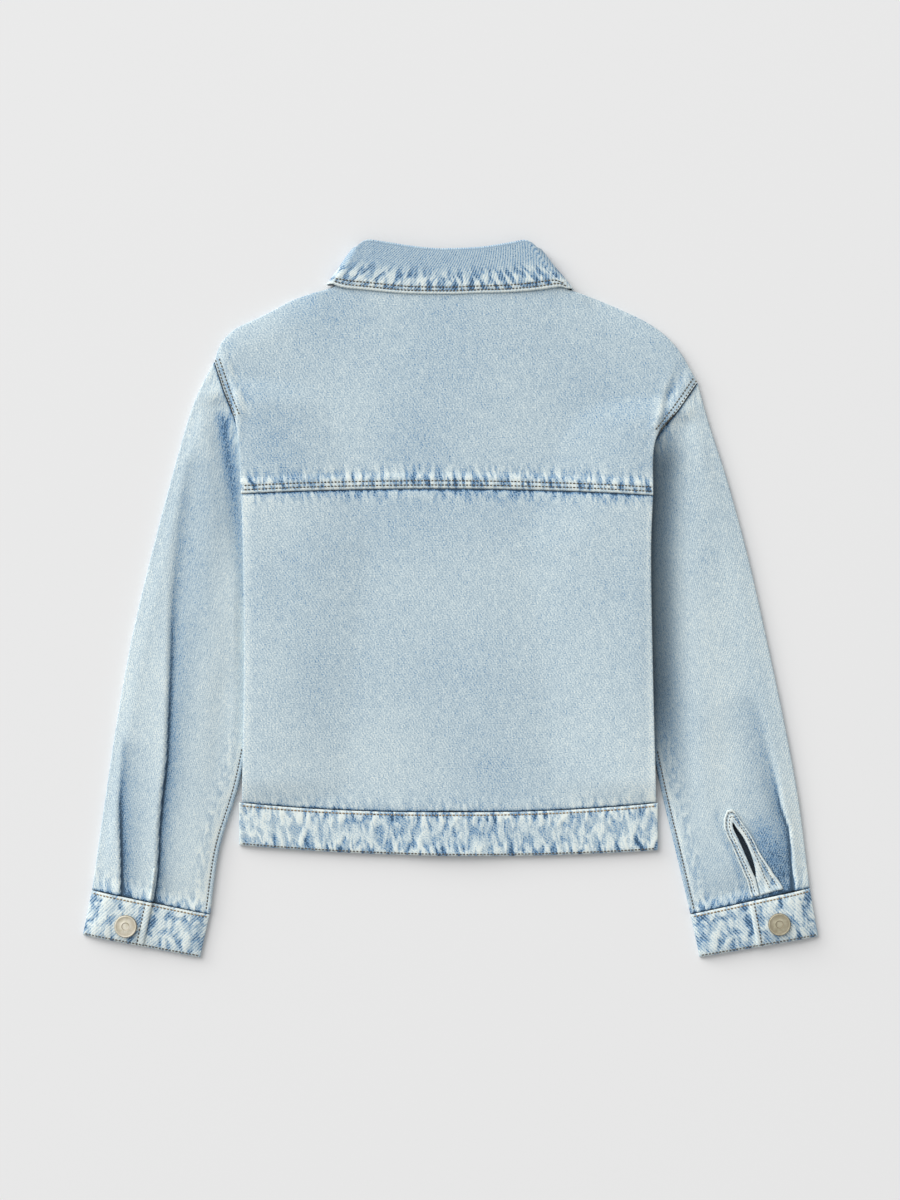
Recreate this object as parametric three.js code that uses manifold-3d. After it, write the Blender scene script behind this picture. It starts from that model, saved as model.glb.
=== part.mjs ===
// A child's denim jacket laid flat on its front, back uppermost and collar towards +Y.
// Millimetres, +Z up, the surface it lies on is z = 0. "Left" is the wearer's left, at -X.
// Every piece of cloth is a wall of WALL, worked out from the outlines and section tables below.
import * as THREE from 'three';
import { mergeVertices } from 'three/addons/utils/BufferGeometryUtils.js';
import Module from 'manifold-3d';

// ---- driving dimensions ----
const WALL = 1.5; // one layer of denim with its turned seam edges
const CUFF_WALL = 1.8; // cuffs are cut double
const SEAM_GAP = 0.3; // between neighbouring pieces
const ROLL = 2.6; // radius, seen from above, of a folded edge
const BODY_THICKNESS = 5.4; // front underside to back upper side, where both lie closest
const TUCKED_SLEEVE = 4.2; // height of a sleeve's edge under the body
const SLEEVE_CROWN = 1.9; // how much fuller a sleeve is along its middle
const SLEEVE_FULL = 6.9; // the most it stands
const BODY_LIFT = 4.8; // the body's sides ride this high over the tucked sleeves
const LIFT_RAMP = 26; // the fronts climb over this width
const LIFT_MARGIN = 14; // and are fully up this far before the sleeve's edge
const COLLAR_LIFT = 2.1; // the fronts ride this high over the collar's points
const BUTTON_LIFT = 2.4; // and this high over their own buttons
const COLLAR_TOP = 10.0; // upper side of the collar leaf
const HAIRPIN = 1.85; // radius of the fold along the top of the collar
const STAND_DEPTH = 2.2; // the stand lies this far inside the leaf's outer side
const FRONT_LAP = 19; // the left front passes the centre line by this much
const BUTTON_RADIUS = 8.5;

// about how far each piece spans, which sets how closely its stations follow a folded edge
const SPAN = {
  yoke: { across: 320, down: 130 },
  panel: { across: 312, down: 236 },
  front: { across: 180, down: 330 },
  sleeve: { across: 100 },
  cuff: { across: 91 },
};

const COLOURS = {
  denim: 0xb6c7d1,
  denimWorn: 0xc3d2db,
  metal: 0xb9b5a4,
};

// ---- outlines: one row for each place, going down from the neck ----
const SHOULDER = [
  { place: 'side of the neck', left: [-81.2, 245.6], right: [77.6, 245] },
  { place: 'under the collar corner', left: [-89.6, 236.6], right: [86.7, 236.8] },
  { place: 'near the collar', left: [-105, 232.6], right: [104, 230.4] },
  { place: 'a third along', left: [-121, 226.8], right: [117, 225.4] },
  { place: 'half way', left: [-136, 218.8], right: [132, 218.8] },
  { place: 'two thirds along', left: [-150, 212], right: [147, 211.6] },
  { place: 'above the tip', left: [-165, 204.4], right: [162, 201.4] },
  { place: 'round the tip', left: [-174.5, 193.5], right: [174.5, 187.6] },
  { place: 'shoulder tip', left: [-179, 181], right: [187, 165] },
];
const BODY_SIDE = [
  { place: 'shoulder tip', left: [-179, 181], right: [187, 165] },
  { place: 'half down the armhole', left: [-171, 158], right: [171.5, 143.5] },
  { place: 'top of the side fold', left: [-163, 136], right: [156, 123] },
  { place: 'yoke seam', left: [-158.6, 79.5], right: [153.4, 78] },
  { place: 'under the arm', left: [-157, 30], right: [152, 40] },
  { place: 'waist', left: [-156.5, -60], right: [153.5, -60] },
  { place: 'hem seam', left: [-158, -153.4], right: [156, -153.4] },
];
const SLEEVE_OUTER = [
  { place: 'shoulder tip', left: [-179.6, 180.5], right: [187.6, 164.5] },
  { place: 'sleeve head', left: [-194, 151], right: [195.5, 136] },
  { place: 'upper arm', left: [-212, 91], right: [210, 91] },
  { place: 'above the elbow', left: [-228, 30], right: [226.5, 30] },
  { place: 'elbow', left: [-242, -30], right: [240, -30] },
  { place: 'forearm', left: [-253, -91], right: [253, -91] },
  { place: 'lower forearm', left: [-262, -151], right: [264, -151] },
  { place: 'cuff seam', left: [-272, -219.5], right: [272.5, -218] },
];
const SLEEVE_INNER = [
  { place: 'underarm', left: [-129, 45], right: [126, 40] },
  { place: 'beside the waist', left: [-143, -45], right: [140, -45] },
  { place: 'leaving the body', left: [-160.2, -138.6], right: [158.7, -139.4] },
  { place: 'forearm', left: [-175, -188], right: [171.2, -192] },
  { place: 'cuff seam', left: [-182.4, -238.2], right: [182, -238] },
];
const SLEEVE_HEAD = [
  { place: 'shoulder tip', left: [-179.6, 180.5], right: [187.6, 164.5] },
  { place: 'half down the armhole', left: [-171.9, 157.5], right: [172.6, 142.9] },
  { place: 'where the body covers it', left: [-163, 135], right: [156.4, 122.5] },
  { place: 'underarm', left: [-129, 45], right: [126, 40] },
];
const CUFF_ENDS = {
  left: { top: [[-272.1, -220], [-182.6, -238.6]], bottom: [[-279, -254], [-190, -271.2]] },
  right: { top: [[272.6, -218.5], [182.2, -238.4]], bottom: [[279, -255], [189, -271]] },
};

// ---- folds: ridges (+) and troughs (-) of the upper side, one row each ----
// from and to are the ends of the crest, width its half breadth, height how far it stands.
const BACK_FOLDS = [
  { from: [178, 150], to: [160, 128], width: 8, height: -1.5 },
  { from: [-176, 176], to: [-166, 146], width: 7, height: -1.4 },
  { from: [-60, 190], to: [-150, 120], width: 34, height: -0.6 },
  { from: [70, 200], to: [150, 110], width: 30, height: -0.7 },
  { from: [-140, 40], to: [-120, -120], width: 26, height: -0.6 },
  { from: [120, 20], to: [105, -130], width: 24, height: -0.6 },
  { from: [-40, 40], to: [40, -90], width: 40, height: -0.5 },
];
const SLEEVE_FOLDS = {
  left: [
    { from: [-168, 90], to: [-165, 20], width: 9, height: -1.6 },
    { from: [-186, 118], to: [-190, 20], width: 14, height: 0.6 },
    { from: [-205, 40], to: [-222, -75], width: 20, height: -1.7 },
    { from: [-222, -80], to: [-226, -150], width: 13, height: -1.2 },
    { from: [-180, -60], to: [-197, -190], width: 20, height: 0.5 },
    { from: [-243, -40], to: [-256, -150], width: 14, height: 0.5 },
  ],
  right: [
    { from: [166, 105], to: [168, -70], width: 11, height: -2.2 },
    { from: [192, 90], to: [196, -60], width: 17, height: 0.6 },
    { from: [222, 0], to: [238, -110], width: 16, height: -0.9 },
    { from: [190, -90], to: [200, -190], width: 16, height: 0.5 },
    { from: [214, -30], to: [222, -120], width: 12, height: -0.7 },
  ],
};
// pleats: the cloth on the right of the line, going from -> to, laps over its left side
const SLEEVE_PLEATS = {
  left: [
    { from: [-219, -126], to: [-226.5, -232], width: 3.2, height: 1.7 },
    { from: [-250.4, -150], to: [-251.4, -224], width: 2.8, height: 1.3 },
  ],
  right: [
    { from: [261.4, -222], to: [247, -130], width: 3, height: 1.7 },
  ],
};
// the line of each sleeve slit, from the top of its binding down to the cuff
const SLIT_LINE = {
  left: [{ x: -222.2, y: -204 }, { x: -223.6, y: -215 }, { x: -224.9, y: -226.5 }],
  right: [
    { x: 212, y: -161.5 },
    { x: 214.6, y: -171 },
    { x: 221, y: -182.5 },
    { x: 228.4, y: -200.5 },
    { x: 234.6, y: -223.5 },
  ],
};
const SLIT = { from: 0.1, to: 0.8, width: 3.8 }; // the open stretch of the right one
const BINDING = { width: 4, edge: 2.6, height: 1.0 }; // edge: what shows of a closed one

// ---- small maths ----
const clamp = (value) => Math.min(1, Math.max(0, value));
const lerp = (a, b, t) => a + (b - a) * t;
const { degToRad } = THREE.MathUtils;
const ease = (from, to, value) => {
  const t = clamp((value - from) / (to - from));
  return t * t * (3 - 2 * t);
};
const softMax = (...values) => {
  const power = 6;
  return values.reduce((sum, value) => sum + value ** power, 0) ** (1 / power);
};

// A smooth curve through one side of an outline table, even along its length, as (t) => Vector2.
function outline(table, side) {
  const points = table.map((row) => new THREE.Vector3(...row[side], 0));
  const curve = new THREE.CatmullRomCurve3(points, false, 'centripetal');
  return (t) => {
    const point = curve.getPointAt(clamp(t));
    return new THREE.Vector2(point.x, point.y);
  };
}

// How far out (x) a side curve is at a height y, for curves that only go down.
function reach(table, side) {
  const rows = table.map((row) => row[side]);
  return (y) => {
    const last = rows.length - 2;
    let index = rows.findIndex((row, k) => k < rows.length - 1 && y >= rows[k + 1][1]);
    if (index < 0) index = last;
    const [x0, y0] = rows[index];
    const [x1, y1] = rows[index + 1];
    return lerp(x0, x1, (y - y0) / (y1 - y0));
  };
}

const bodySide = { left: outline(BODY_SIDE, 'left'), right: outline(BODY_SIDE, 'right') };
const bodyReach = { left: reach(BODY_SIDE, 'left'), right: reach(BODY_SIDE, 'right') };
const sleeveLine = {
  left: reach([...SLEEVE_HEAD, ...SLEEVE_INNER.slice(1)], 'left'),
  right: reach([...SLEEVE_HEAD, ...SLEEVE_INNER.slice(1)], 'right'),
};
const COVER_TOP = { left: 136, right: 123 }; // the body covers the sleeve below these heights
const OUTWARD = { left: -1, right: 1 };

const yokeSeamY = (x) => 84 - 4.6 * (x / 158) ** 2 - 0.7 * (x / 158);
const YOKE_SIDE = { left: -158, right: 154 }; // where the yoke seam meets the side folds
const hemSeamY = (x) => -160.6 + 7.2 * (Math.abs(x) / 158) ** 2.4;
const HEM_SIDE_Y = -153.2; // the hem seam at the side folds
const hemEdgeY = (x) => -194 + 6.2 * (Math.abs(x) / 158) ** 2 - 1.8 * (x / 158);

// ---- heights ----
// The body's side rises over the tucked sleeve and comes down again at the hem.
function sideLift(x, y, side) {
  const out = OUTWARD[side];
  const inboard = (sleeveLine[side](y) - x) * out;
  const across = 1 - ease(LIFT_MARGIN, LIFT_MARGIN + LIFT_RAMP, inboard);
  const cover = COVER_TOP[side];
  const along = ease(cover + 42, cover + 10, y) * ease(-166, -134, y);
  return BODY_LIFT * across * along;
}
const lifts = (x, y) => [sideLift(x, y, 'left'), sideLift(x, y, 'right')];
const neckLift = (x, y) => COLLAR_LIFT * ease(86, 116, y) * ease(114, 95, Math.abs(x));

function frontZ(x, y) {
  const ridge = BUTTON_LIFT * ease(46, 12, Math.abs(x));
  return softMax(...lifts(x, y), neckLift(x, y), ridge);
}

function foldHeight(folds, x, y) {
  let height = 0;
  for (const fold of folds) {
    const along = new THREE.Vector2(fold.to[0] - fold.from[0], fold.to[1] - fold.from[1]);
    const away = new THREE.Vector2(x - fold.from[0], y - fold.from[1]);
    const t = away.dot(along) / along.lengthSq();
    const beyond = (t - clamp(t)) * along.length();
    const aside = away.cross(along) / along.length();
    const fade = 1 - 0.45 * clamp(t);
    height += fold.height * fade * Math.exp(-((aside / fold.width) ** 2))
      * Math.exp(-((beyond / (1.6 * fold.width)) ** 2));
  }
  return height;
}

// A pleat's upper layer stands full height along its edge and dies away behind it.
function pleatHeight(pleats, x, y) {
  let height = 0;
  for (const pleat of pleats) {
    const along = new THREE.Vector2(pleat.to[0] - pleat.from[0], pleat.to[1] - pleat.from[1]);
    const away = new THREE.Vector2(x - pleat.from[0], y - pleat.from[1]);
    const t = away.dot(along) / along.lengthSq();
    const aside = away.cross(along) / along.length();
    const strength = along.y < 0 ? ease(0, 0.8, t) : ease(1, 0.2, t);
    const behind = Math.exp(-Math.max(0, aside) / (5 * pleat.width));
    const step = ease(-pleat.width, pleat.width, aside) * behind;
    const hollow = 0.5 * Math.exp(-(((aside + pleat.width) / pleat.width) ** 2));
    height += pleat.height * strength * (step - hollow) * (t > 1.3 || t < -0.3 ? 0 : 1);
  }
  return height;
}

function backZ(x, y) {
  const crown = 1.2 + 1.2 * ease(75, 15, Math.abs(x));
  const base = BODY_THICKNESS + softMax(...lifts(x, y), neckLift(x, y), crown);
  return base + foldHeight(BACK_FOLDS, x, y);
}

// Upper side of a sleeve: thin where it is tucked, fuller outside, meeting the yoke at its head.
function sleeveZ(side, s, v, x, y) {
  const out = OUTWARD[side];
  const outside = (x - bodyReach[side](y)) * out;
  const free = ease(6, 25, outside);
  const crown = 1 - Math.abs(2 * s - 1) ** 3;
  const folds = foldHeight(SLEEVE_FOLDS[side], x, y) + pleatHeight(SLEEVE_PLEATS[side], x, y);
  const body = TUCKED_SLEEVE + free * (SLEEVE_CROWN * crown + folds * clamp(8 * s * (1 - s) + 0.3));
  const cover = COVER_TOP[side];
  const atSeam = lerp(TUCKED_SLEEVE, backZ(x, y) - 1.2, ease(cover + 9, cover + 24, y));
  const z = lerp(body, Math.min(atSeam, SLEEVE_FULL), Math.exp(-((v / 0.06) ** 2)));
  return Math.min(z, SLEEVE_FULL);
}

// ---- walls ----
// The direction of a line of points at one of them, to second order at its two ends.
function slope(at, k, count, closed) {
  if (closed || (k > 0 && k < count - 1)) return at(k + 1).clone().sub(at(k - 1));
  const inward = k === 0 ? 1 : -1;
  const far = count > 2 ? at(k + 2 * inward) : at(k + inward).clone().lerp(at(k), -1);
  const along = at(k + inward).clone().multiplyScalar(4).addScaledVector(at(k), -3).sub(far);
  return along.multiplyScalar(inward);
}

// A wall from a grid of outer points: the inner side is the outer one moved in along its normals.
// Rows run so that (next column) x (next row) points outwards. A closed grid joins its row ends.
function wall(rows, thickness, closed = false) {
  const height = rows.length;
  const width = rows[0].length;
  const inner = rows.map((row, j) => row.map((point, i) => {
    const across = slope((k) => row[(k + width) % width], i, width, closed);
    const down = slope((k) => rows[k][i], j, height, false);
    return point.clone().addScaledVector(across.cross(down).normalize(), -thickness);
  }));
  const positions = [...rows.flat(), ...inner.flat()].flatMap((point) => point.toArray());
  const outerAt = (i, j) => j * width + (i % width);
  const innerAt = (i, j) => outerAt(i, j) + width * height;
  const index = [];
  const quad = (a, b, c, d) => index.push(a, b, c, a, c, d);
  const columns = closed ? width : width - 1;
  for (let j = 0; j < height - 1; j++) {
    for (let i = 0; i < columns; i++) {
      quad(outerAt(i, j), outerAt(i + 1, j), outerAt(i + 1, j + 1), outerAt(i, j + 1));
      quad(innerAt(i, j), innerAt(i, j + 1), innerAt(i + 1, j + 1), innerAt(i + 1, j));
    }
  }
  for (let i = 0; i < columns; i++) {
    quad(outerAt(i, 0), innerAt(i, 0), innerAt(i + 1, 0), outerAt(i + 1, 0));
    const last = height - 1;
    quad(outerAt(i, last), outerAt(i + 1, last), innerAt(i + 1, last), innerAt(i, last));
  }
  if (!closed) {
    const end = width - 1;
    for (let j = 0; j < height - 1; j++) {
      quad(outerAt(0, j), outerAt(0, j + 1), innerAt(0, j + 1), innerAt(0, j));
      quad(outerAt(end, j), innerAt(end, j), innerAt(end, j + 1), outerAt(end, j + 1));
    }
  }
  const geometry = new THREE.BufferGeometry();
  geometry.setAttribute('position', new THREE.Float32BufferAttribute(positions, 3));
  geometry.setIndex(index);
  return geometry;
}

// A four-sided patch in plan between its top, bottom, left and right edge curves.
function patch(top, bottom, left, right) {
  const corner = { tl: top(0), tr: top(1), bl: bottom(0), br: bottom(1) };
  return (u, v) => {
    const flat = new THREE.Vector2().lerpVectors(top(u), bottom(u), v);
    const leftPull = left(v).sub(new THREE.Vector2().lerpVectors(corner.tl, corner.bl, v));
    const rightPull = right(v).sub(new THREE.Vector2().lerpVectors(corner.tr, corner.br, v));
    return flat.addScaledVector(leftPull, 1 - u).addScaledVector(rightPull, u);
  };
}

// Grid stations along one direction: close together round a folded edge, even between.
function stations(length, count, rollStart, rollEnd) {
  const bends = [0, 0.134, 0.5, 1].map((part) => (part * ROLL) / length);
  const start = rollStart ? bends : [0];
  const end = rollEnd ? bends.map((bend) => 1 - bend).reverse() : [1];
  const from = start[start.length - 1];
  const middle = [];
  for (let k = 1; k < count; k++) middle.push(lerp(from, end[0], k / count));
  return [...start, ...middle, ...end];
}

// Moves the nearest inner stations onto the places where an edge has a corner.
function snap(list, corners) {
  const snapped = [...list];
  const taken = new Set([0, list.length - 1]);
  for (const corner of corners) {
    const free = [...list.keys()].filter((k) => !taken.has(k));
    free.sort((a, b) => Math.abs(list[a] - corner) - Math.abs(list[b] - corner));
    snapped[free[0]] = corner;
    taken.add(free[0]);
  }
  return snapped.sort((a, b) => a - b);
}

// How far a folded edge has turned down at a distance from the edge: 0 flat, 1 at the edge itself.
const turned = (...bends) => 1 - Math.sqrt(1 - Math.min(1, Math.hypot(...bends)) ** 2);
const bend = (distance) => Math.max(0, 1 - distance / ROLL);

const vector = (plan, z) => new THREE.Vector3(plan.x, plan.y, z);

// ---- body panels ----
const NECK = { left: SHOULDER[0].left, right: SHOULDER[0].right };

const NECK_DIP_Y = 241.8; // the back neck seam at the middle

// The back's top edge from tip to tip, by how far across it is.
function yokeTop(u) {
  const tips = [SHOULDER.at(-1).left, SHOULDER.at(-1).right];
  const x = lerp(tips[0][0], tips[1][0], u);
  const side = x < 0 ? 'left' : 'right';
  if (Math.abs(x) <= Math.abs(NECK[side][0])) {
    const part = x / NECK[side][0];
    return new THREE.Vector2(x, lerp(NECK_DIP_Y, NECK[side][1], part * part));
  }
  const rows = SHOULDER.map((row) => row[side]);
  const index = rows.findIndex((row, k) => k > 0 && Math.abs(row[0]) >= Math.abs(x) - 1e-6);
  const [x0, y0] = rows[index - 1];
  const [x1, y1] = rows[index];
  return new THREE.Vector2(x, lerp(y0, y1, (x - x0) / (x1 - x0)));
}

// Part of a body side curve between two heights, as (v) => Vector2.
function sidePart(side, yTop, yBottom) {
  const find = (y) => {
    let low = 0;
    let high = 1;
    for (let step = 0; step < 30; step++) {
      const middle = (low + high) / 2;
      if (bodySide[side](middle).y > y) low = middle;
      else high = middle;
    }
    return low;
  };
  const from = find(yTop);
  const to = find(yBottom);
  return (v) => bodySide[side](lerp(from, to, v));
}

// The armhole edge lies open against the sleeve; below it the side is folded.
const sideFolded = (side, y) => ease(COVER_TOP[side] + 24, COVER_TOP[side] + 8, y);
const halfThickness = (x, y) => (backZ(x, y) - frontZ(x, y)) / 2 - SEAM_GAP;

function backYoke() {
  const leftEdge = sidePart('left', Infinity, yokeSeamY(YOKE_SIDE.left) + SEAM_GAP);
  const rightEdge = sidePart('right', Infinity, yokeSeamY(YOKE_SIDE.right) + SEAM_GAP);
  const ends = [leftEdge(1), rightEdge(1)];
  const bottom = (u) => {
    const x = lerp(ends[0].x, ends[1].x, u);
    return new THREE.Vector2(x, yokeSeamY(x) + SEAM_GAP);
  };
  const plan = patch(yokeTop, bottom, leftEdge, rightEdge);
  const tips = [SHOULDER.at(-1).left[0], SHOULDER.at(-1).right[0]];
  const corners = SHOULDER.slice(0, 2).flatMap((row) => [row.left[0], row.right[0]]);
  const across = snap(stations(SPAN.yoke.across, 25, true, true),
    corners.map((x) => (x - tips[0]) / (tips[1] - tips[0])));
  const down = stations(SPAN.yoke.down, 8, true, false);
  const rows = down.map((v) => across.map((u) => {
    const point = plan(u, v);
    const top = plan(u, 0);
    const atNeck = Math.abs(top.x) < Math.abs(NECK.left[0]) - 1 ? 0 : 1;
    const side = u < 0.5 ? 'left' : 'right';
    const fromSide = bend(Math.min(u, 1 - u) * SPAN.yoke.across) * sideFolded(side, point.y);
    const turn = turned(fromSide, bend(v * SPAN.yoke.down) * atNeck);
    const z = backZ(point.x, point.y) - halfThickness(point.x, point.y) * turn;
    return vector(point, z);
  }));
  return wall(rows.reverse(), WALL);
}

function backPanel() {
  const leftEdge = sidePart('left', yokeSeamY(YOKE_SIDE.left), HEM_SIDE_Y);
  const rightEdge = sidePart('right', yokeSeamY(YOKE_SIDE.right), HEM_SIDE_Y);
  const line = (seam, ends, shift) => (u) => {
    const x = lerp(ends[0].x, ends[1].x, u);
    return new THREE.Vector2(x, seam(x) + shift);
  };
  const top = line(yokeSeamY, [leftEdge(0), rightEdge(0)], 0);
  const bottom = line(hemSeamY, [leftEdge(1), rightEdge(1)], SEAM_GAP);
  const plan = patch(top, bottom, leftEdge, rightEdge);
  const across = stations(SPAN.panel.across, 23, true, true);
  const down = stations(SPAN.panel.down, 11, false, false);
  const rows = down.map((v) => across.map((u) => {
    const point = plan(u, v);
    const turn = turned(bend(Math.min(u, 1 - u) * SPAN.panel.across));
    const z = backZ(point.x, point.y) - halfThickness(point.x, point.y) * turn;
    return vector(point, z);
  }));
  return wall(rows.reverse(), WALL);
}

// A front lies under the back. The left one is outermost; the right one laps inside it.
const FRONT_NECK_Y = 148; // the front neckline at the centre
const FRONT_CLIMB = { from: 45, to: 18 }; // the right front climbs here, inboard of the lap

function frontPanel(side) {
  const out = OUTWARD[side];
  const neck = new THREE.Vector2(...NECK[side]);
  const shoulder = SHOULDER.map((row) => new THREE.Vector2(...row[side])).reverse();
  const lapX = -out * FRONT_LAP;
  const edge = [...shoulder, new THREE.Vector2(0, FRONT_NECK_Y), new THREE.Vector2(lapX, FRONT_NECK_Y)];
  const lengths = edge.map((point, k) => (k ? point.distanceTo(edge[k - 1]) : 0));
  const total = lengths.reduce((sum, part) => sum + part, 0);
  const top = (u) => {
    let left = clamp(u) * total;
    let k = 1;
    while (k < edge.length - 1 && left > lengths[k]) left -= lengths[k++];
    return new THREE.Vector2().lerpVectors(edge[k - 1], edge[k], clamp(left / lengths[k]));
  };
  const partTo = (count) => lengths.slice(0, count + 1).reduce((sum, part) => sum + part, 0) / total;
  const corners = [partTo(shoulder.length - 2), partTo(shoulder.length - 1), partTo(edge.length - 2)];
  const sideEdge = sidePart(side, Infinity, HEM_SIDE_Y);
  const bottom = (u) => {
    const x = lerp(sideEdge(1).x, lapX, u);
    return new THREE.Vector2(x, hemSeamY(x) + SEAM_GAP);
  };
  const centre = (v) => new THREE.Vector2(lapX, lerp(FRONT_NECK_Y, bottom(1).y, v));
  const plan = patch(top, bottom, sideEdge, centre);
  const down = stations(SPAN.front.down, 12, true, false);
  const across = snap(stations(SPAN.front.across, 12, true, false), corners);
  const rows = down.map((v) => across.map((u) => {
    const point = plan(u, v);
    const folded = top(u).distanceTo(neck) > 1 && (top(u).x - neck.x) * out > 0 ? 1 : 0;
    const fromSide = bend(u * SPAN.front.across) * sideFolded(side, point.y);
    const turn = turned(fromSide, bend(v * SPAN.front.down) * folded);
    const climb = ease(FRONT_LAP + FRONT_CLIMB.from, FRONT_LAP + FRONT_CLIMB.to, point.x);
    const lap = side === 'right' ? (WALL + SEAM_GAP) * climb : 0;
    const z = frontZ(point.x, point.y) + halfThickness(point.x, point.y) * turn + lap;
    return vector(point, z);
  }));
  return wall(side === 'left' ? rows : rows.reverse(), WALL);
}

// ---- strips that go round the flat body: hem band, collar leaf and stand ----
// Stations go from the left front end, round the left side, over the back and round to the right.
// Each has its plan point at a part t of the strip's height, its level, and its outward normal.
function stripStations(shape) {
  const list = [];
  const radius = shape.topZ / 2 - shape.inset;
  const lay = (side, t) => {
    const away = shape.away[side];
    return shape.edge(side, t).addScaledVector(away, -radius - shape.inset);
  };
  const under = (side, part) => ({
    plan: (t) => new THREE.Vector2().lerpVectors(lay(side, t), shape.front(side, t), part),
    z: shape.inset,
    out: new THREE.Vector3(0, 0, -1),
  });
  const round = (side, angle) => ({
    plan: (t) => lay(side, t).addScaledVector(shape.away[side], radius * Math.sin(angle)),
    z: shape.topZ / 2 + radius * Math.cos(angle),
    out: new THREE.Vector3(shape.away[side].x * Math.sin(angle),
      shape.away[side].y * Math.sin(angle), Math.cos(angle)),
  });
  const over = (part) => ({
    plan: (t) => {
      const point = new THREE.Vector2().lerpVectors(lay('left', t), lay('right', t), part);
      point.y += shape.sag(t) * 4 * part * (1 - part);
      return point;
    },
    z: shape.topZ - shape.inset,
    out: new THREE.Vector3(0, 0, 1),
  });
  for (const part of [1, 0.66, 0.33]) list.push(under('left', part));
  for (const angle of [180, 135, 90, 45, 0]) list.push(round('left', degToRad(angle)));
  for (let k = 1; k < 12; k++) list.push(over(k / 12));
  for (const angle of [0, 45, 90, 135, 180]) list.push(round('right', degToRad(angle)));
  for (const part of [0.33, 0.66, 1]) list.push(under('right', part));
  return list;
}

const COLLAR_CORNER = {
  left: { fold: [-66, 272], free: [-92, 238.5] },
  right: { fold: [66, 272], free: [89, 238.7] },
};
const collarEdge = (side, t) => new THREE.Vector2(...COLLAR_CORNER[side].fold)
  .lerp(new THREE.Vector2(...COLLAR_CORNER[side].free), t);
const COLLAR_AWAY = {
  left: new THREE.Vector2(-0.79, 0.613),
  right: new THREE.Vector2(0.79, 0.613),
};
const COLLAR_SAG = { fold: -3.5, free: -3.0 };
const COLLAR_FRONT = { fold: [3, 192], free: [46, 134] }; // the leaf's front end, under the fronts
const COLLAR_ROWS = [1, 0.8, 0.55, 0.3, 0.1]; // parts of the leaf's height, up from the free edge
const COLLAR_TURN_IN = 0.13; // how far the leaf comes back down inside its fold

function collarPiece(inset, front, rows) {
  const shape = {
    topZ: COLLAR_TOP,
    inset,
    away: COLLAR_AWAY,
    edge: collarEdge,
    front,
    sag: (t) => lerp(COLLAR_SAG.fold, COLLAR_SAG.free, t),
  };
  const list = stripStations(shape);
  return rows.map((row) => list.map((station) => {
    const base = station.plan(row.t);
    const up = station.plan(0).sub(station.plan(1)).normalize();
    base.addScaledVector(up, row.up);
    return vector(base, station.z).addScaledVector(station.out, -row.depth);
  }));
}

function collarLeaf() {
  const { fold, free } = COLLAR_FRONT;
  const front = (side, t) => new THREE.Vector2(
    OUTWARD[side] * lerp(fold[0], free[0], t), lerp(fold[1], free[1], t));
  const rows = COLLAR_ROWS.map((t) => ({ t, up: 0, depth: 0 }));
  for (const angle of [30, 60, 90, 120, 150, 180]) {
    const turn = degToRad(angle);
    const up = HAIRPIN * Math.sin(turn) - HAIRPIN;
    rows.push({ t: 0, up, depth: HAIRPIN * (1 - Math.cos(turn)) });
  }
  rows.push({ t: COLLAR_TURN_IN, up: -HAIRPIN, depth: 2 * HAIRPIN });
  return wall(collarPiece(0, front, rows), WALL);
}

// The stand reaches from the neck seam up into the fold; both are parts of the leaf's height.
const STAND_FOOT = 0.66;
const STAND_TOP = 0.24;
const STAND_FRONT = { top: [12, 180], foot: [4, 155.5] };

function collarStand() {
  const { top, foot } = STAND_FRONT;
  const front = (side, t) => {
    const part = (t - STAND_TOP) / (STAND_FOOT - STAND_TOP);
    return new THREE.Vector2(OUTWARD[side] * lerp(top[0], foot[0], part), lerp(top[1], foot[1], part));
  };
  const rows = [STAND_FOOT, (STAND_FOOT + STAND_TOP) / 2, STAND_TOP].map((t) => ({ t, up: 0, depth: 0 }));
  return wall(collarPiece(STAND_DEPTH, front, rows), WALL);
}

// The hem band goes round the body below the hem seam and follows the heights of both layers.
const HEM_SIDE = { left: -160.4, right: 157.4 };
const HEM_FRONT = {
  left: [FRONT_LAP, -10, -40, -80, -110, -135, -150],
  right: [148, 133, 108, 80, 50, FRONT_LAP + SEAM_GAP + 0.1],
};

function hemBand() {
  const rows = [0, 0.5, 1].map((t) => {
    const height = (x) => lerp(hemSeamY(x) - SEAM_GAP, hemEdgeY(x), t);
    const points = [];
    const half = (x, y) => (backZ(x, y) - frontZ(x, y)) / 2;
    const lower = (x) => points.push(new THREE.Vector3(x, height(x), frontZ(x, height(x))));
    const upper = (x) => points.push(new THREE.Vector3(x, height(x), backZ(x, height(x))));
    const side = (name, angles) => angles.forEach((degrees) => {
      const angle = degToRad(degrees);
      const x = HEM_SIDE[name] - OUTWARD[name] * ROLL * (1 - Math.sin(angle));
      const y = height(x);
      const middle = frontZ(x, y) + half(x, y);
      points.push(new THREE.Vector3(x, y, middle + half(x, y) * Math.cos(angle)));
    });
    HEM_FRONT.left.forEach(lower);
    side('left', [180, 135, 90, 45, 0]);
    for (let k = 1; k < 20; k++) upper(lerp(HEM_SIDE.left + ROLL, HEM_SIDE.right - ROLL, k / 20));
    side('right', [0, 45, 90, 135, 180]);
    HEM_FRONT.right.forEach(lower);
    return points;
  });
  return wall(rows.reverse(), WALL);
}

// ---- sleeves ----
// A ring of points for each row: the upper side from the outer edge in, the lower side back out.
function sleevePlan(side) {
  const outer = outline(SLEEVE_OUTER, side);
  const inner = outline(SLEEVE_INNER, side);
  const head = outline(SLEEVE_HEAD, side);
  const seam = (s) => new THREE.Vector2().lerpVectors(outer(1), inner(1), s);
  return patch(head, seam, outer, inner);
}

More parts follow.
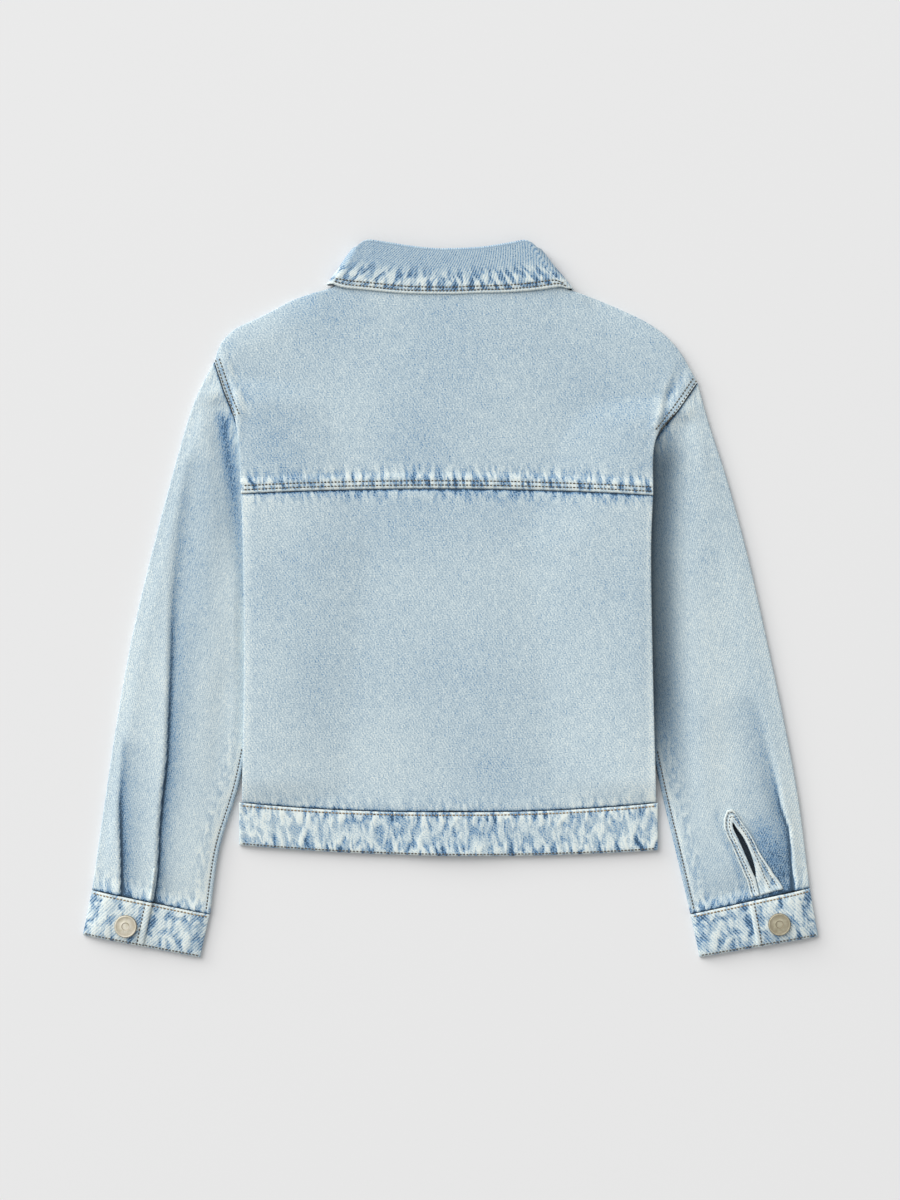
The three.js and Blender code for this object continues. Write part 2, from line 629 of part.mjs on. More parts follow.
// parts of a sleeve's length with a row of points, closer together towards the cuff
const SLEEVE_ROWS = [0, 0.04, 0.1, 0.18, 0.27, 0.36, 0.45, 0.54, 0.62, 0.69, 0.75, 0.8, 0.84, 0.88,
  0.92, 0.96, 1];
const sleeveUpper = stations(SPAN.sleeve.across, 21, true, true);
const sleeveLower = stations(SPAN.sleeve.across, 5, true, true).slice(1, -1).reverse();

function sleevePoint(side, plan, s, v, below) {
  const point = plan(s, v);
  const top = sleeveZ(side, s, v, point.x, point.y);
  const turn = turned(bend(Math.min(s, 1 - s) * SPAN.sleeve.across)) * (top / 2);
  return vector(point, below ? turn : top - turn);
}

function sleeve(side) {
  const plan = sleevePlan(side);
  const rows = SLEEVE_ROWS.map((v) => [
    ...sleeveUpper.map((s) => sleevePoint(side, plan, s, v, false)),
    ...sleeveLower.map((s) => sleevePoint(side, plan, s, v, true)),
  ]);
  return wall(side === 'left' ? rows.reverse() : rows, WALL, true);
}

// ---- cuffs: one strip whose button end laps over its other end on the upper side ----
const CUFF_LAP = { edge: 0.52, under: 0.24, topZ: 7.6, outerZ: 6.3, underZ: 5.4, innerZ: 5.4 };
function cuffUpperZ(s) {
  return lerp(CUFF_LAP.outerZ, CUFF_LAP.topZ, ease(0.03, 0.36, s));
}

function cuff(side) {
  const { top, bottom } = CUFF_ENDS[side];
  const corner = (pair, s) => new THREE.Vector2().lerpVectors(
    new THREE.Vector2(...pair[0]), new THREE.Vector2(...pair[1]), s);
  const rows = [0, 0.25, 0.75, 1].map((t) => {
    const plan = (s) => corner(top, s).lerp(corner(bottom, s), t);
    const points = [];
    const put = (s, z) => points.push(vector(plan(s), z));
    for (const s of [CUFF_LAP.edge, 0.44, 0.34, 0.24, 0.16, 0.09]) put(s, cuffUpperZ(s));
    const round = (edge, inward, z, angles) => angles.forEach((degrees) => {
      const angle = degToRad(degrees);
      const s = edge + inward * (ROLL / SPAN.cuff.across) * (1 - Math.sin(angle));
      put(s, z / 2 + (z / 2) * Math.cos(angle));
    });
    round(0, 1, cuffUpperZ(0), [0, 45, 90, 135, 180]);
    for (const s of [0.2, 0.4, 0.6, 0.8]) put(s, 0);
    round(1, -1, CUFF_LAP.innerZ, [180, 135, 90, 45, 0]);
    for (const s of [0.86, 0.74, 0.62, 0.54, 0.46, 0.38, 0.3, CUFF_LAP.under]) put(s, CUFF_LAP.underZ);
    return points;
  });
  return wall(side === 'left' ? rows : rows.reverse(), CUFF_WALL);
}

// ---- the sleeve slits and their bindings ----
// The slit gapes most in the middle of its open stretch.
function slitHalf(t) {
  const part = clamp((t - SLIT.from) / (SLIT.to - SLIT.from));
  return (SLIT.width / 2) * Math.sin(Math.PI * part) ** 0.6;
}

// Two lines, one each side of a slit's line, between two parts of its length.
function slitLips(side, from, to, halfWidth) {
  const points = SLIT_LINE[side].map((point) => new THREE.Vector2(point.x, point.y));
  const curve = new THREE.SplineCurve(points);
  const count = 9;
  const lips = { west: [], east: [] };
  for (let k = 0; k <= count; k++) {
    const t = lerp(from, to, k / count);
    const across = curve.getTangentAt(t).rotateAround(new THREE.Vector2(), Math.PI / 2);
    const half = halfWidth(t);
    lips.east.push(curve.getPointAt(t).addScaledVector(across, half));
    lips.west.push(curve.getPointAt(t).addScaledVector(across, -half));
  }
  return lips;
}

// Which two numbers of an increasing list a value lies between, and how far along.
function between(list, value) {
  const after = list.findIndex((entry, k) => k > 0 && entry >= value);
  const k = after < 0 ? list.length - 1 : after;
  return { k: k - 1, part: (value - list[k - 1]) / (list[k] - list[k - 1]) };
}

// Where a plan point is on a sleeve, as parts of its width and length.
function sleevePlace(plan, target) {
  let s = 0.5;
  let v = 0.85;
  const small = 0.002;
  for (let step = 0; step < 12; step++) {
    const here = plan(s, v);
    const ds = plan(s + small, v).sub(here).divideScalar(small);
    const dv = plan(s, v + small).sub(here).divideScalar(small);
    const miss = target.clone().sub(here);
    const area = ds.cross(dv);
    s += miss.cross(dv) / area;
    v += ds.cross(miss) / area;
  }
  return { s, v };
}

// The level of a sleeve's upper side, between the four points of its wall round a place on it.
function sleeveLevel(side, plan, target) {
  const { s, v } = sleevePlace(plan, target);
  const column = between(sleeveUpper, s);
  const row = between(SLEEVE_ROWS, v);
  const level = (i, j) => sleevePoint(side, plan, sleeveUpper[i], SLEEVE_ROWS[j], false).z;
  const ends = [row.k, row.k + 1].map(
    (j) => lerp(level(column.k, j), level(column.k + 1, j), column.part));
  return lerp(...ends, row.part);
}

// A strip of binding on a sleeve between two lines in plan, its points moved out from the sleeve's.
function bindingStrip(side, first, last) {
  const plan = sleevePlan(side);
  const rows = [0, 0.35, 0.7, 1].map((part) => first.map((point, k) => {
    const here = point.clone().lerp(last[k], part);
    return vector(here, sleeveLevel(side, plan, here) + SEAM_GAP + BINDING.height);
  }));
  return wall(rows, BINDING.height);
}

// The open slit's binding goes up one lip, over the top and down the other.
function openSlitBinding(side) {
  const near = (t) => slitHalf(t) + 0.5;
  const inner = slitLips(side, SLIT.from, 1, near);
  const outer = slitLips(side, 0, 1, (t) => near(t) + BINDING.width * ease(-0.12, 0.1, t));
  return bindingStrip(side, [...inner.west.toReversed(), ...inner.east],
    [...outer.west.toReversed(), ...outer.east]);
}

// The closed slit shows one bound edge, beside the pleat that covers it.
function closedSlitBinding(side) {
  const lips = slitLips(side, 0, 1, () => BINDING.edge / 2);
  return bindingStrip(side, lips.west, lips.east);
}

// ---- buttons ----
function button(profile, segments) {
  const points = profile.map((row) => new THREE.Vector2(row.r, row.z));
  const geometry = new THREE.LatheGeometry(points, segments);
  geometry.rotateX(Math.PI / 2);
  return geometry;
}
const CUFF_BUTTON = [
  { r: 0, z: 0 },
  { r: 7.4, z: 0 },
  { r: BUTTON_RADIUS, z: 0.7 },
  { r: BUTTON_RADIUS, z: 1.5 },
  { r: 7.8, z: 2.3 },
  { r: 6.9, z: 2.4 },
  { r: 6.2, z: 1.9 },
  { r: 0, z: 2.0 },
];
const FRONT_BUTTON = [
  { r: 0, z: 0 },
  { r: 7.6, z: 0 },
  { r: BUTTON_RADIUS, z: 0.7 },
  { r: 8.0, z: 1.8 },
  { r: 0, z: 1.8 },
];

// ---- assembly ----
const wasm = await Module();
wasm.setup();

function solid(geometry) {
  const bare = geometry.clone();
  bare.deleteAttribute('normal');
  bare.deleteAttribute('uv');
  const merged = mergeVertices(bare, 1e-4);
  const vertProperties = new Float32Array(merged.attributes.position.array);
  return new wasm.Manifold(new wasm.Mesh({
    numProp: 3, vertProperties, triVerts: new Uint32Array(merged.index.array),
  }));
}

function fromSolid(body) {
  const { vertProperties, triVerts } = body.getMesh();
  const geometry = new THREE.BufferGeometry();
  geometry.setAttribute('position', new THREE.BufferAttribute(vertProperties, 3));
  geometry.setIndex(new THREE.BufferAttribute(triVerts, 1));
  return geometry;
}

// The slit is cut through the sleeve's upper layer only.
function cutSlit(geometry) {
  const lips = slitLips('right', SLIT.from, SLIT.to, (t) => slitHalf(t) + 0.1);
  const shape = new THREE.Shape([...lips.west.toReversed(), ...lips.east]);
  const cutter = new THREE.ExtrudeGeometry(shape, { depth: 8, bevelEnabled: false });
  cutter.translate(0, 0, 2.2);
  return fromSolid(solid(geometry).subtract(solid(cutter)));
}

const jacket = new THREE.Group();
function add(name, geometry, colour, place = [0, 0, 0]) {
  const metal = colour === COLOURS.metal;
  const material = new THREE.MeshStandardMaterial({
    color: colour, roughness: metal ? 0.42 : 0.92, metalness: metal ? 1 : 0,
  });
  const mesh = new THREE.Mesh(geometry, material);
  mesh.name = name;
  mesh.position.set(...place);
  jacket.add(mesh);
}

add('back_yoke', backYoke(), COLOURS.denim);
add('back_panel', backPanel(), COLOURS.denim);
add('front_left', frontPanel('left'), COLOURS.denim);
add('front_right', frontPanel('right'), COLOURS.denim);
add('hem_band', hemBand(), COLOURS.denimWorn);
add('collar_leaf', collarLeaf(), COLOURS.denimWorn);
add('collar_stand', collarStand(), COLOURS.denim);
add('sleeve_left', sleeve('left'), COLOURS.denim);
add('sleeve_right', cutSlit(sleeve('right')), COLOURS.denim);
add('cuff_left', cuff('left'), COLOURS.denimWorn);
add('cuff_right', cuff('right'), COLOURS.denimWorn);
add('slit_binding_left', closedSlitBinding('left'), COLOURS.denimWorn);
add('slit_binding_right', openSlitBinding('right'), COLOURS.denimWorn);

const CUFF_BUTTON_PLACE = { left: [-245.8, -247], right: [248.9, -245.5] };
for (const side of ['left', 'right']) {
  const place = [...CUFF_BUTTON_PLACE[side], CUFF_LAP.topZ + SEAM_GAP];
  add(`cuff_button_${side}`, button(CUFF_BUTTON, 24), COLOURS.metal, place);
}
const FRONT_BUTTONS = { count: 5, top: 133, bottom: -177 };
for (let k = 0; k < FRONT_BUTTONS.count; k++) {
  const y = lerp(FRONT_BUTTONS.top, FRONT_BUTTONS.bottom, k / (FRONT_BUTTONS.count - 1));
  add(`front_button_${k + 1}`, button(FRONT_BUTTON, 14), COLOURS.metal, [0, y, 0]);
}

export default jacket;
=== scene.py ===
import bpy
import numpy as np
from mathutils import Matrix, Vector
from mathutils.bvhtree import BVHTree


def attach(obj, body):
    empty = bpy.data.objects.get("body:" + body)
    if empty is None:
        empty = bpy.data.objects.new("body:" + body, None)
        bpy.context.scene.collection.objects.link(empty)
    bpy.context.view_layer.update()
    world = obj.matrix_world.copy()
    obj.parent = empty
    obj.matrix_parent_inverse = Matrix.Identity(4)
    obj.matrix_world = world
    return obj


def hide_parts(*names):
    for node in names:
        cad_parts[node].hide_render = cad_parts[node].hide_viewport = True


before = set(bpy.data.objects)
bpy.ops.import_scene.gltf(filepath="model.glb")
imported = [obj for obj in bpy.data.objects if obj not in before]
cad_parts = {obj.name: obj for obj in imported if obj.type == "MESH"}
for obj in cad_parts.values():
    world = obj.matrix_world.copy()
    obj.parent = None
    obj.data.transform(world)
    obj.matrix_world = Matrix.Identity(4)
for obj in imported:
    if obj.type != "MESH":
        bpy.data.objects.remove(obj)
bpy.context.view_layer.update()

MM = 0.001
# walls of 12 oz denim with its seam edges: a panel's, a doubled cuff's, a binding's
CLOTH, CUFF_CLOTH, BINDING_CLOTH = 1.2, 1.5, 0.9
SEAM_GAP = 0.3
ROLL = 0.75  # how far in from a folded edge the cloth turns down
FOLDED_EDGE, SWELL = 4.4, 22  # how thick the pressed folds are, how far in they swell to the rest
BODY_THICKNESS = 5.4
TUCKED_SLEEVE = 4.2
SLEEVE_CROWN, SLEEVE_FULL, SLEEVE_EDGE = 1.2, 8.4, 4.0
VALLEY = {"left": 1.3, "right": 1.5}  # the sleeves sink beside the body
BODY_LIFT = 4.8  # by the sleeve tucked under each side, fading out over a ramp past a margin
LIFT_MARGIN, LIFT_RAMP, BACK_RAMP = 14, 26, 95
COLLAR_LIFT, BUTTON_LIFT = 2.1, 2.4
HEM_THINNER = 0.8
COLLAR_TOP, COLLAR_WIDTH = 10.0, 41
HAIRPIN = 1.85  # the radius of the leaf's turn at its fold
STAND_DEPTH = 2.2
FRONT_LAP = 19
STITCH = 2.6  # from one stitch to the next, drawn a little longer than the 2.2 of real ones
FELLED = 3.4  # from a sleeve's inner edge to the stitches of its felled seam
# rows of stitches, from the edge they run along; a band's two are from its seam and its edge
YOKE_ROWS, ARMHOLE_ROWS, COLLAR_ROWS = (2.8, 6.0), (1.9, 5.0), (3.0, 6.2)
BAND_ROW, EDGE_ROW = 2.2, 1.4

# ---- outlines, from the neck down ----
SHOULDER = {
    "left": [(-81.2, 245.6), (-89.6, 236.6), (-105, 232.6), (-121, 226.8), (-136, 218.8),
             (-150, 212), (-165, 204.4), (-174.5, 193.5), (-179, 181)],
    "right": [(77.6, 245), (86.7, 236.8), (104, 230.4), (117, 225.4), (132, 218.8),
              (147, 211.6), (162, 201.4), (174.5, 187.6), (187, 165)],
}
BODY_SIDE = {
    "left": [(-179, 181), (-171, 158), (-163, 136), (-158.6, 79.5), (-157, 30),
             (-156.5, -60), (-158, -153.4)],
    "right": [(187, 165), (171.5, 143.5), (156, 123), (153.4, 78), (152, 40),
              (153.5, -60), (156, -153.4)],
}
SLEEVE_OUTER = {
    "left": [(-179.6, 180.5), (-194, 151), (-212, 91), (-228, 30), (-242, -30), (-253, -91),
             (-262, -151), (-272, -219.5)],
    "right": [(187.6, 164.5), (195.5, 136), (210, 91), (226.5, 30), (240, -30), (253, -91),
              (264, -151), (272.5, -218)],
}
SLEEVE_INNER = {
    "left": [(-129, 45), (-143, -45), (-160.2, -138.6), (-175, -188), (-182.4, -238.2)],
    "right": [(126, 40), (140, -45), (158.7, -139.4), (171.2, -192), (182, -238)],
}
SLEEVE_HEAD = {
    "left": [(-179.6, 180.5), (-171.9, 157.5), (-163, 135), (-129, 45)],
    "right": [(187.6, 164.5), (172.6, 142.9), (156.4, 122.5), (126, 40)],
}
CUFF_ENDS = {
    "left": [[(-272.1, -220), (-182.6, -238.6)], [(-279, -254), (-190, -271.2)]],
    "right": [[(272.6, -218.5), (182.2, -238.4)], [(279, -255), (189, -271)]],
}
YOKE_SIDE = {"left": -158, "right": 154}
COVER_TOP = {"left": 136, "right": 123}
OUTWARD = {"left": -1, "right": 1}
HEM_SIDE_Y = -153.2
HEM_SIDE = {"left": -160.4, "right": 157.4}
NECK_DIP_Y = 241.8
FRONT_NECK_Y = 148
ABOVE_ALL = 400

# ---- folds: the line of the crest, its half breadth, and its height where it starts ----
BACK_FOLDS = [
    ([(-60, 190), (-150, 120)], 34, -0.4),
    ([(70, 200), (150, 110)], 30, -0.45),
    ([(-140, 40), (-120, -120)], 26, -0.35),
    ([(120, 20), (105, -130)], 24, -0.35),
    ([(-40, 40), (40, -90)], 40, -0.4),
    ([(-118, 226), (-104, 150)], 16, 0.2),
    ([(112, 222), (98, 146)], 15, 0.2),
    ([(-152, 62), (-138, -30)], 9, 0.2),
    ([(148, 30), (144, -110)], 7, 0.15),
    ([(30, -60), (64, -140)], 18, 0.25),
    ([(-96, -70), (-70, -150)], 14, -0.25),
]
SLEEVE_FOLDS = {
    "left": [
        ([(-186, 128), (-184, 60), (-188, 0)], 10, 1.0),
        ([(-181, -20), (-190, -120), (-196, -205)], 16, 0.9),
        ([(-243, -20), (-253, -120), (-258, -170)], 11, 0.8),
        ([(-200, 112), (-226, 14)], 12, 0.6),
        ([(-172, -70), (-176, -128)], 9, -0.7),
    ],
    "right": [
        ([(190, 110), (188, 20), (190, -70)], 14, 1.0),
        ([(217, 84), (234, -20)], 14, 0.5),
        ([(190, -96), (196, -150), (204, -205)], 15, 0.8),
        ([(246, -20), (258, -110), (264, -190)], 8, 0.7),
        ([(174, -90), (184, -160)], 8, -0.7),
        ([(206, -120), (200, -196)], 11, -0.5),
    ],
}
# pleats: a line going down and the side whose cloth lies on top; for its two ends, how far that
# stands, how wide its step is and how blue its painted shade is; how far the step and the painted shade
# die away
SLEEVE_PLEATS = {
    "left": [
        {"line": [(-200, 104), (-203, 84), (-207.5, 45), (-211, 0), (-213, -60), (-216, -121),
                  (-219.7, -152), (-221.6, -174), (-222, -189), (-222.9, -204.5), (-224.4, -216),
                  (-226.5, -229.5)],
         "over": 1, "height": (0.4, 2.6), "sharp": (5, 1.0), "tail": 16, "deep": (0.4, 1.35), "wide": 9},
        {"line": [(-248.5, -112), (-250.4, -142), (-251.1, -155), (-250.4, -200), (-250.6, -222)],
         "over": 1, "height": (0.2, 1.8), "sharp": (4, 0.8), "tail": 9, "deep": (0.6, 1.5), "wide": 8},
    ],
    "right": [
        {"line": [(231, -78), (239, -108), (244.6, -129), (250.6, -156), (257.2, -173.5),
                  (259.6, -198), (261.6, -220)],
         "over": -1, "height": (0.3, 2.4), "sharp": (8, 0.9), "tail": 9, "deep": (0.4, 1.5), "wide": 10},
    ],
}
CREASES = {  # where the lifted sides of the body run on up into the yoke
    "left": {"line": [(-162.4, 128), (-162.3, 145), (-163.6, 159), (-167.2, 169),
                      (-171.8, 180), (-176, 188)], "height": 1.9, "sharp": 2.2},
    "right": {"line": [(156, 116), (158.4, 137), (161.8, 154), (167.2, 168.5),
                       (172.7, 186)], "height": 2.1, "sharp": 2.2},
}
# the line down the left sleeve beside the body, where blue painted shade darkens the slope facing away
# from the light
LEFT_SHADED_HOLLOW = [(-173, 136), (-165.5, 91), (-160, 45), (-158, 5)]
SLIT_LINE = {
    "left": [(-224, -203), (-225.5, -215), (-227.4, -227)],
    "right": [(211.6, -158.6), (214.6, -171), (221, -182.5), (228.4, -200.5), (234.6, -223.5)],
}
SLIT = {"from": 0.15, "to": 0.8, "width": 4.0}  # the stretch that stands open
COLLAR_FOLD = [(-68.3, 274.4), (-57.2, 272.5), (-45.8, 270.8), (-34.5, 268.9), (-11.7, 266.4),
               (3.4, 266.5), (22.3, 267.4), (41.3, 270.2), (50.8, 272), (62.4, 274.2)]
COLLAR_EDGE = [(-94.1, 239), (-83, 236.4), (-64, 234.5), (-48, 232.9), (-33.7, 231.8), (-10, 231.4),
               (3.4, 231.4), (22.3, 232.2), (41.3, 232.6), (58, 233.7), (70, 235), (79, 236.3),
               (86, 236.8), (93.4, 235.6)]
COLLAR_SIDE = {
    "left": [(-68.3, 274.4), (-73.3, 267.9), (-78.9, 260.8), (-84.6, 252.3), (-94.1, 239)],
    "right": [(62.4, 274.2), (67.8, 267.4), (73.5, 260.3), (79.2, 252.7), (84.9, 246.2),
              (93.4, 235.6)],
}
COLLAR_CORNER = {"cut": 0.19, "breadth": 9.4}  # the fold rounds off towards the two ends
COLLAR_AWAY = {"left": np.array([-0.79, 0.613]), "right": np.array([0.79, 0.613])}
COLLAR_FRONT = [(3, 192), (46, 134)]
COLLAR_TURN_IN = 0.13  # this and the stand's two lines are parts of the collar's width
STAND_FOOT, STAND_TOP = 0.66, 0.24
STAND_FRONT = [(12, 180), (4, 155.5)]
# the lapped ends by parts of a cuff's width, then the heights of its layers
CUFF_LAP = {"edge": 0.52, "under": 0.24, "top": 7.5, "outer": 3.6, "below": 5.5, "inner": 3.4}
CUFF_END_ROW = {"left": 5.4, "right": 4.0}  # from the lapped end to its row of stitches
CUFF_WIDTH, CUFF_DEPTH = 91, 35
CUFF_BUTTON_PLACE = {"left": (-245.8, -247), "right": (248.9, -245.5)}
CUFF_BUTTON_SEAT = 7.9


# ---- small maths ----
def clamp(value):
    return np.clip(value, 0.0, 1.0)


def ease(start, end, value):
    t = clamp((value - start) / (end - start))
    return t * t * (3 - 2 * t)


def mix(a, b, t):
    return a + (b - a) * t


def soft_max(*values):
    """The highest of some levels, blended where they meet."""
    return sum(np.power(np.maximum(value, 0), 6) for value in values) ** (1 / 6)


def hump(value, width):
    return np.exp(-((value / width) ** 2))


def smooth_line(points, steps=40):
    """A dense centripetal curve through points."""
    p = np.array(points, float)
    p = np.vstack([2 * p[0] - p[1], p, 2 * p[-1] - p[-2]])
    dense = []
    for p0, p1, p2, p3 in zip(p, p[1:], p[2:], p[3:]):
        d0, d1, d2 = (np.linalg.norm(b - a) ** 0.5 for a, b in ((p0, p1), (p1, p2), (p2, p3)))
        m1 = ((p1 - p0) / d0 - (p2 - p0) / (d0 + d1) + (p2 - p1) / d1) * d1
        m2 = ((p2 - p1) / d1 - (p3 - p1) / (d1 + d2) + (p3 - p2) / d2) * d1
        t = np.linspace(0, 1, steps, endpoint=False)[:, None]
        dense.append(p1 + m1 * t + (3 * (p2 - p1) - 2 * m1 - m2) * t**2
                     + (2 * (p1 - p2) + m1 + m2) * t**3)
    dense.append(p[-2:-1])
    return np.vstack(dense)


def along(points):
    """The length of a line up to each of its points."""
    steps = np.linalg.norm(np.diff(points, axis=0), axis=1)
    return np.concatenate([[0.0], np.cumsum(steps)])


def by_part(line):
    """A line of points as a function of the part of its length."""
    parts = along(line) / along(line)[-1]
    return lambda t: np.stack([np.interp(t, parts, line[:, k]) for k in (0, 1)], -1)


def outline(points):
    """The curve through points, by the part of its length."""
    return by_part(smooth_line(points))


def reach(points):
    """How far out a side line is at a height, for lines that only go down."""
    rows = np.array(points, float)[::-1]
    return lambda y: np.interp(y, rows[:, 1], rows[:, 0])


body_side = {side: outline(BODY_SIDE[side]) for side in OUTWARD}
body_reach = {side: reach(BODY_SIDE[side]) for side in OUTWARD}
sleeve_line = {side: reach(SLEEVE_HEAD[side] + SLEEVE_INNER[side][1:]) for side in OUTWARD}


def yoke_seam_y(x):
    return 84 - 4.6 * (x / 158) ** 2 - 0.7 * (x / 158)


def hem_seam_y(x):
    return -160.6 + 7.2 * (np.abs(x) / 158) ** 2.4


def hem_edge_y(x):
    return -194 + 6.2 * (np.abs(x) / 158) ** 2 - 1.8 * (x / 158)


def beside(line, x, y):
    """For points: the part of a line beside them, how far aside (+ on its left), how far beyond."""
    points = np.array(line, float)
    lengths = along(points)
    best = np.full(np.shape(x), np.inf)
    part, aside, beyond = (np.zeros(np.shape(x)) for _ in range(3))
    for k in range(len(points) - 1):
        way = points[k + 1] - points[k]
        size = np.linalg.norm(way)
        dx, dy = x - points[k][0], y - points[k][1]
        t = (dx * way[0] + dy * way[1]) / size**2
        held = clamp(t)
        off = np.hypot(dx - held * way[0], dy - held * way[1])
        side = (way[0] * dy - way[1] * dx) / size
        near = off < best
        best = np.where(near, off, best)
        part = np.where(near, (lengths[k] + held * size) / lengths[-1], part)
        aside = np.where(near, side, aside)
        beyond = np.where(near, np.abs(t - held) * size, beyond)
    return part, aside, beyond


# ---- heights of the laid layers ----
def lifts(x, y, ramp):
    """How far the sleeve tucked under each side lifts a layer that slopes off over a ramp."""
    heights = []
    for side, out in OUTWARD.items():
        inboard = (sleeve_line[side](y) - x) * out
        across = 1 - ease(LIFT_MARGIN, LIFT_MARGIN + ramp, inboard)
        cover = COVER_TOP[side]
        heights.append(BODY_LIFT * across * ease(cover + 42, cover + 10, y) * ease(-166, -134, y))
    return heights


def neck_lift(x, y, spread=0):
    """How far the collar's front points lift what lies on them."""
    return COLLAR_LIFT * ease(86 - spread, 116 + spread, y) * ease(114 + spread, 95 - spread, np.abs(x))


def front_z(x, y):
    """How high the fronts' underside lies over sleeves, collar points and buttons."""
    ridge = BUTTON_LIFT * ease(46, 12, np.abs(x))
    return soft_max(*lifts(x, y, LIFT_RAMP), neck_lift(x, y), ridge)


def fold_height(folds, x, y):
    height = np.zeros(np.shape(x))
    for line, width, tall in folds:
        part, aside, beyond = beside(line, x, y)
        height += tall * (1 - 0.45 * part) * hump(aside, width) * hump(beyond, 1.6 * width)
    return height


def pleat_shape(pleats, x, y):
    """How far pleats raise the cloth, lean it over their hollows, and how much painted shade lies in
    those hollows.
    """
    height, hollow = np.zeros(np.shape(x)), np.zeros(np.shape(x))
    lean = np.zeros(np.shape(x))
    for pleat in pleats:
        part, aside, beyond = beside(pleat["line"], x, y)
        aside = aside * -pleat["over"]
        stand = mix(*pleat["height"], ease(0, 0.85, part)) * hump(beyond, 7)
        sharp = mix(*pleat["sharp"], ease(0, 0.75, part))
        step = ease(-0.3 * sharp, 1.2 * sharp, aside) * np.exp(-np.maximum(aside, 0) / pleat["tail"])
        trough = hump(aside + 1.3 * sharp, 1.6 * sharp) + 0.5 * hump(aside + 4, 5)
        height += stand * (step - 0.42 * trough)
        # painted shade under the lapping cloth: dark at its edge, fading away from it
        under = np.maximum(0, -aside - 0.5)
        shade = 0.8 * ease(5, 2, sharp) * np.exp(-under / 1.1) + 0.62 * np.exp(-under / pleat["wide"])
        shade = shade * ease(0.5 * sharp, -0.5 * sharp, aside)
        hollow += mix(*pleat["deep"], ease(0, 0.8, part)) * hump(beyond, 5) * shade
        lean += pleat["over"] * 0.5 * stand * hump(aside - 0.5, 1.5) * ease(0.3, 0.7, part)
    return height, hollow, lean


def crease_height(x, y):
    """The yoke stands along its creases and falls away towards the armholes."""
    height = np.zeros(np.shape(x))
    for side, crease in CREASES.items():
        part, aside, beyond = beside(crease["line"], x, y)
        outside = -aside * OUTWARD[side]
        fade = ease(1.0, 0.35, part) * hump(beyond, 6)
        drop = ease(-0.4 * crease["sharp"], 1.4 * crease["sharp"], outside)
        drop = drop * np.exp(-np.maximum(outside - 6, 0) / 14)
        height += fade * (0.35 * hump(outside + 2, 3.5) - crease["height"] * drop)
    return height


def back_z(x, y):
    """How high the back's upper side lies."""
    to_hem = ease(-40, -168, y)
    crown = (1.2 + 1.2 * ease(120, 15, np.abs(x))) * (1 - 0.5 * to_hem)
    over = soft_max(*lifts(x, y, BACK_RAMP), neck_lift(x, y, 50), crown)
    return BODY_THICKNESS - HEM_THINNER * to_hem + over + fold_height(BACK_FOLDS, x, y)


def fall(distance, swell=SWELL):
    """How much of the swelling is missing at a distance from a folded edge."""
    return (1 - clamp(distance / swell)) ** 2


def pressed(x, y, missing):
    """The back's height and half thickness where some of the swelling is missing."""
    low, full = front_z(x, y), back_z(x, y) - front_z(x, y)
    thick = full - (full - FOLDED_EDGE) * missing
    return low + thick, thick / 2 - SEAM_GAP


def turned(*bends):
    """How far a folded edge has turned down: 0 flat, 1 at the edge itself."""
    return 1 - np.sqrt(1 - np.minimum(1, sum(bend**2 for bend in bends)))


def bend(distance):
    return np.maximum(0, 1 - distance / ROLL)


def at_folds(x, y, *edges):
    """The back's height, half thickness and turn by the distances from edges where they're folded."""
    missing = 1 - np.prod([1 - fall(distance) * folded for distance, folded in edges], axis=0)
    return (*pressed(x, y, missing), turned(*(bend(distance) * folded for distance, folded in edges)))


def patch(top, bottom, left, right):
    """A four-sided patch in plan between its edge curves."""
    corners = [edge(end) for edge in (top, bottom) for end in (0.0, 1.0)]

    def plan(u, v):
        u, v = np.broadcast_arrays(u, v)
        uu, vv = u[..., None], v[..., None]
        flat = mix(top(u), bottom(u), vv)
        pull_left = left(v) - mix(corners[0], corners[2], vv)
        pull_right = right(v) - mix(corners[1], corners[3], vv)
        return flat + pull_left * (1 - uu) + pull_right * uu

    return plan


def stations(length, step, roll_start=False, roll_end=False, fine=(), keep=()):
    """Parts of a length: close together round folded edges and in the fine stretches."""
    near = np.array([0, 0.06, 0.134, 0.3, 0.5, 0.75, 1]) * ROLL
    start = near if roll_start else np.array([0.0])
    end = length - near[::-1] if roll_end else np.array([length])
    places = [start[-1]]
    while places[-1] < end[0]:
        sizes = [size for low, high, size in fine if low - size <= places[-1] < high]
        places.append(places[-1] + min(sizes + [step]))
    places = np.array(places)
    places = start[-1] + (places - start[-1]) * (end[0] - start[-1]) / (places[-1] - start[-1])
    middle = places[1:-1] / length
    for place in keep:
        middle[np.argmin(np.abs(middle - place))] = place
    return np.concatenate([start / length, middle, end / length])


# ---- meshes ----
def put(name, data):
    """A new object in the scene."""
    thing = bpy.data.objects.new(name, data)
    bpy.context.scene.collection.objects.link(thing)
    return thing


def work_in(piece):
    """Turns a piece's modifiers into mesh."""
    bpy.context.view_layer.update()
    worked = piece.evaluated_get(bpy.context.evaluated_depsgraph_get())
    piece.data = bpy.data.meshes.new_from_object(worked)
    piece.modifiers.clear()


def quads(*corners):
    return np.stack(corners, -1).reshape(-1, 4)


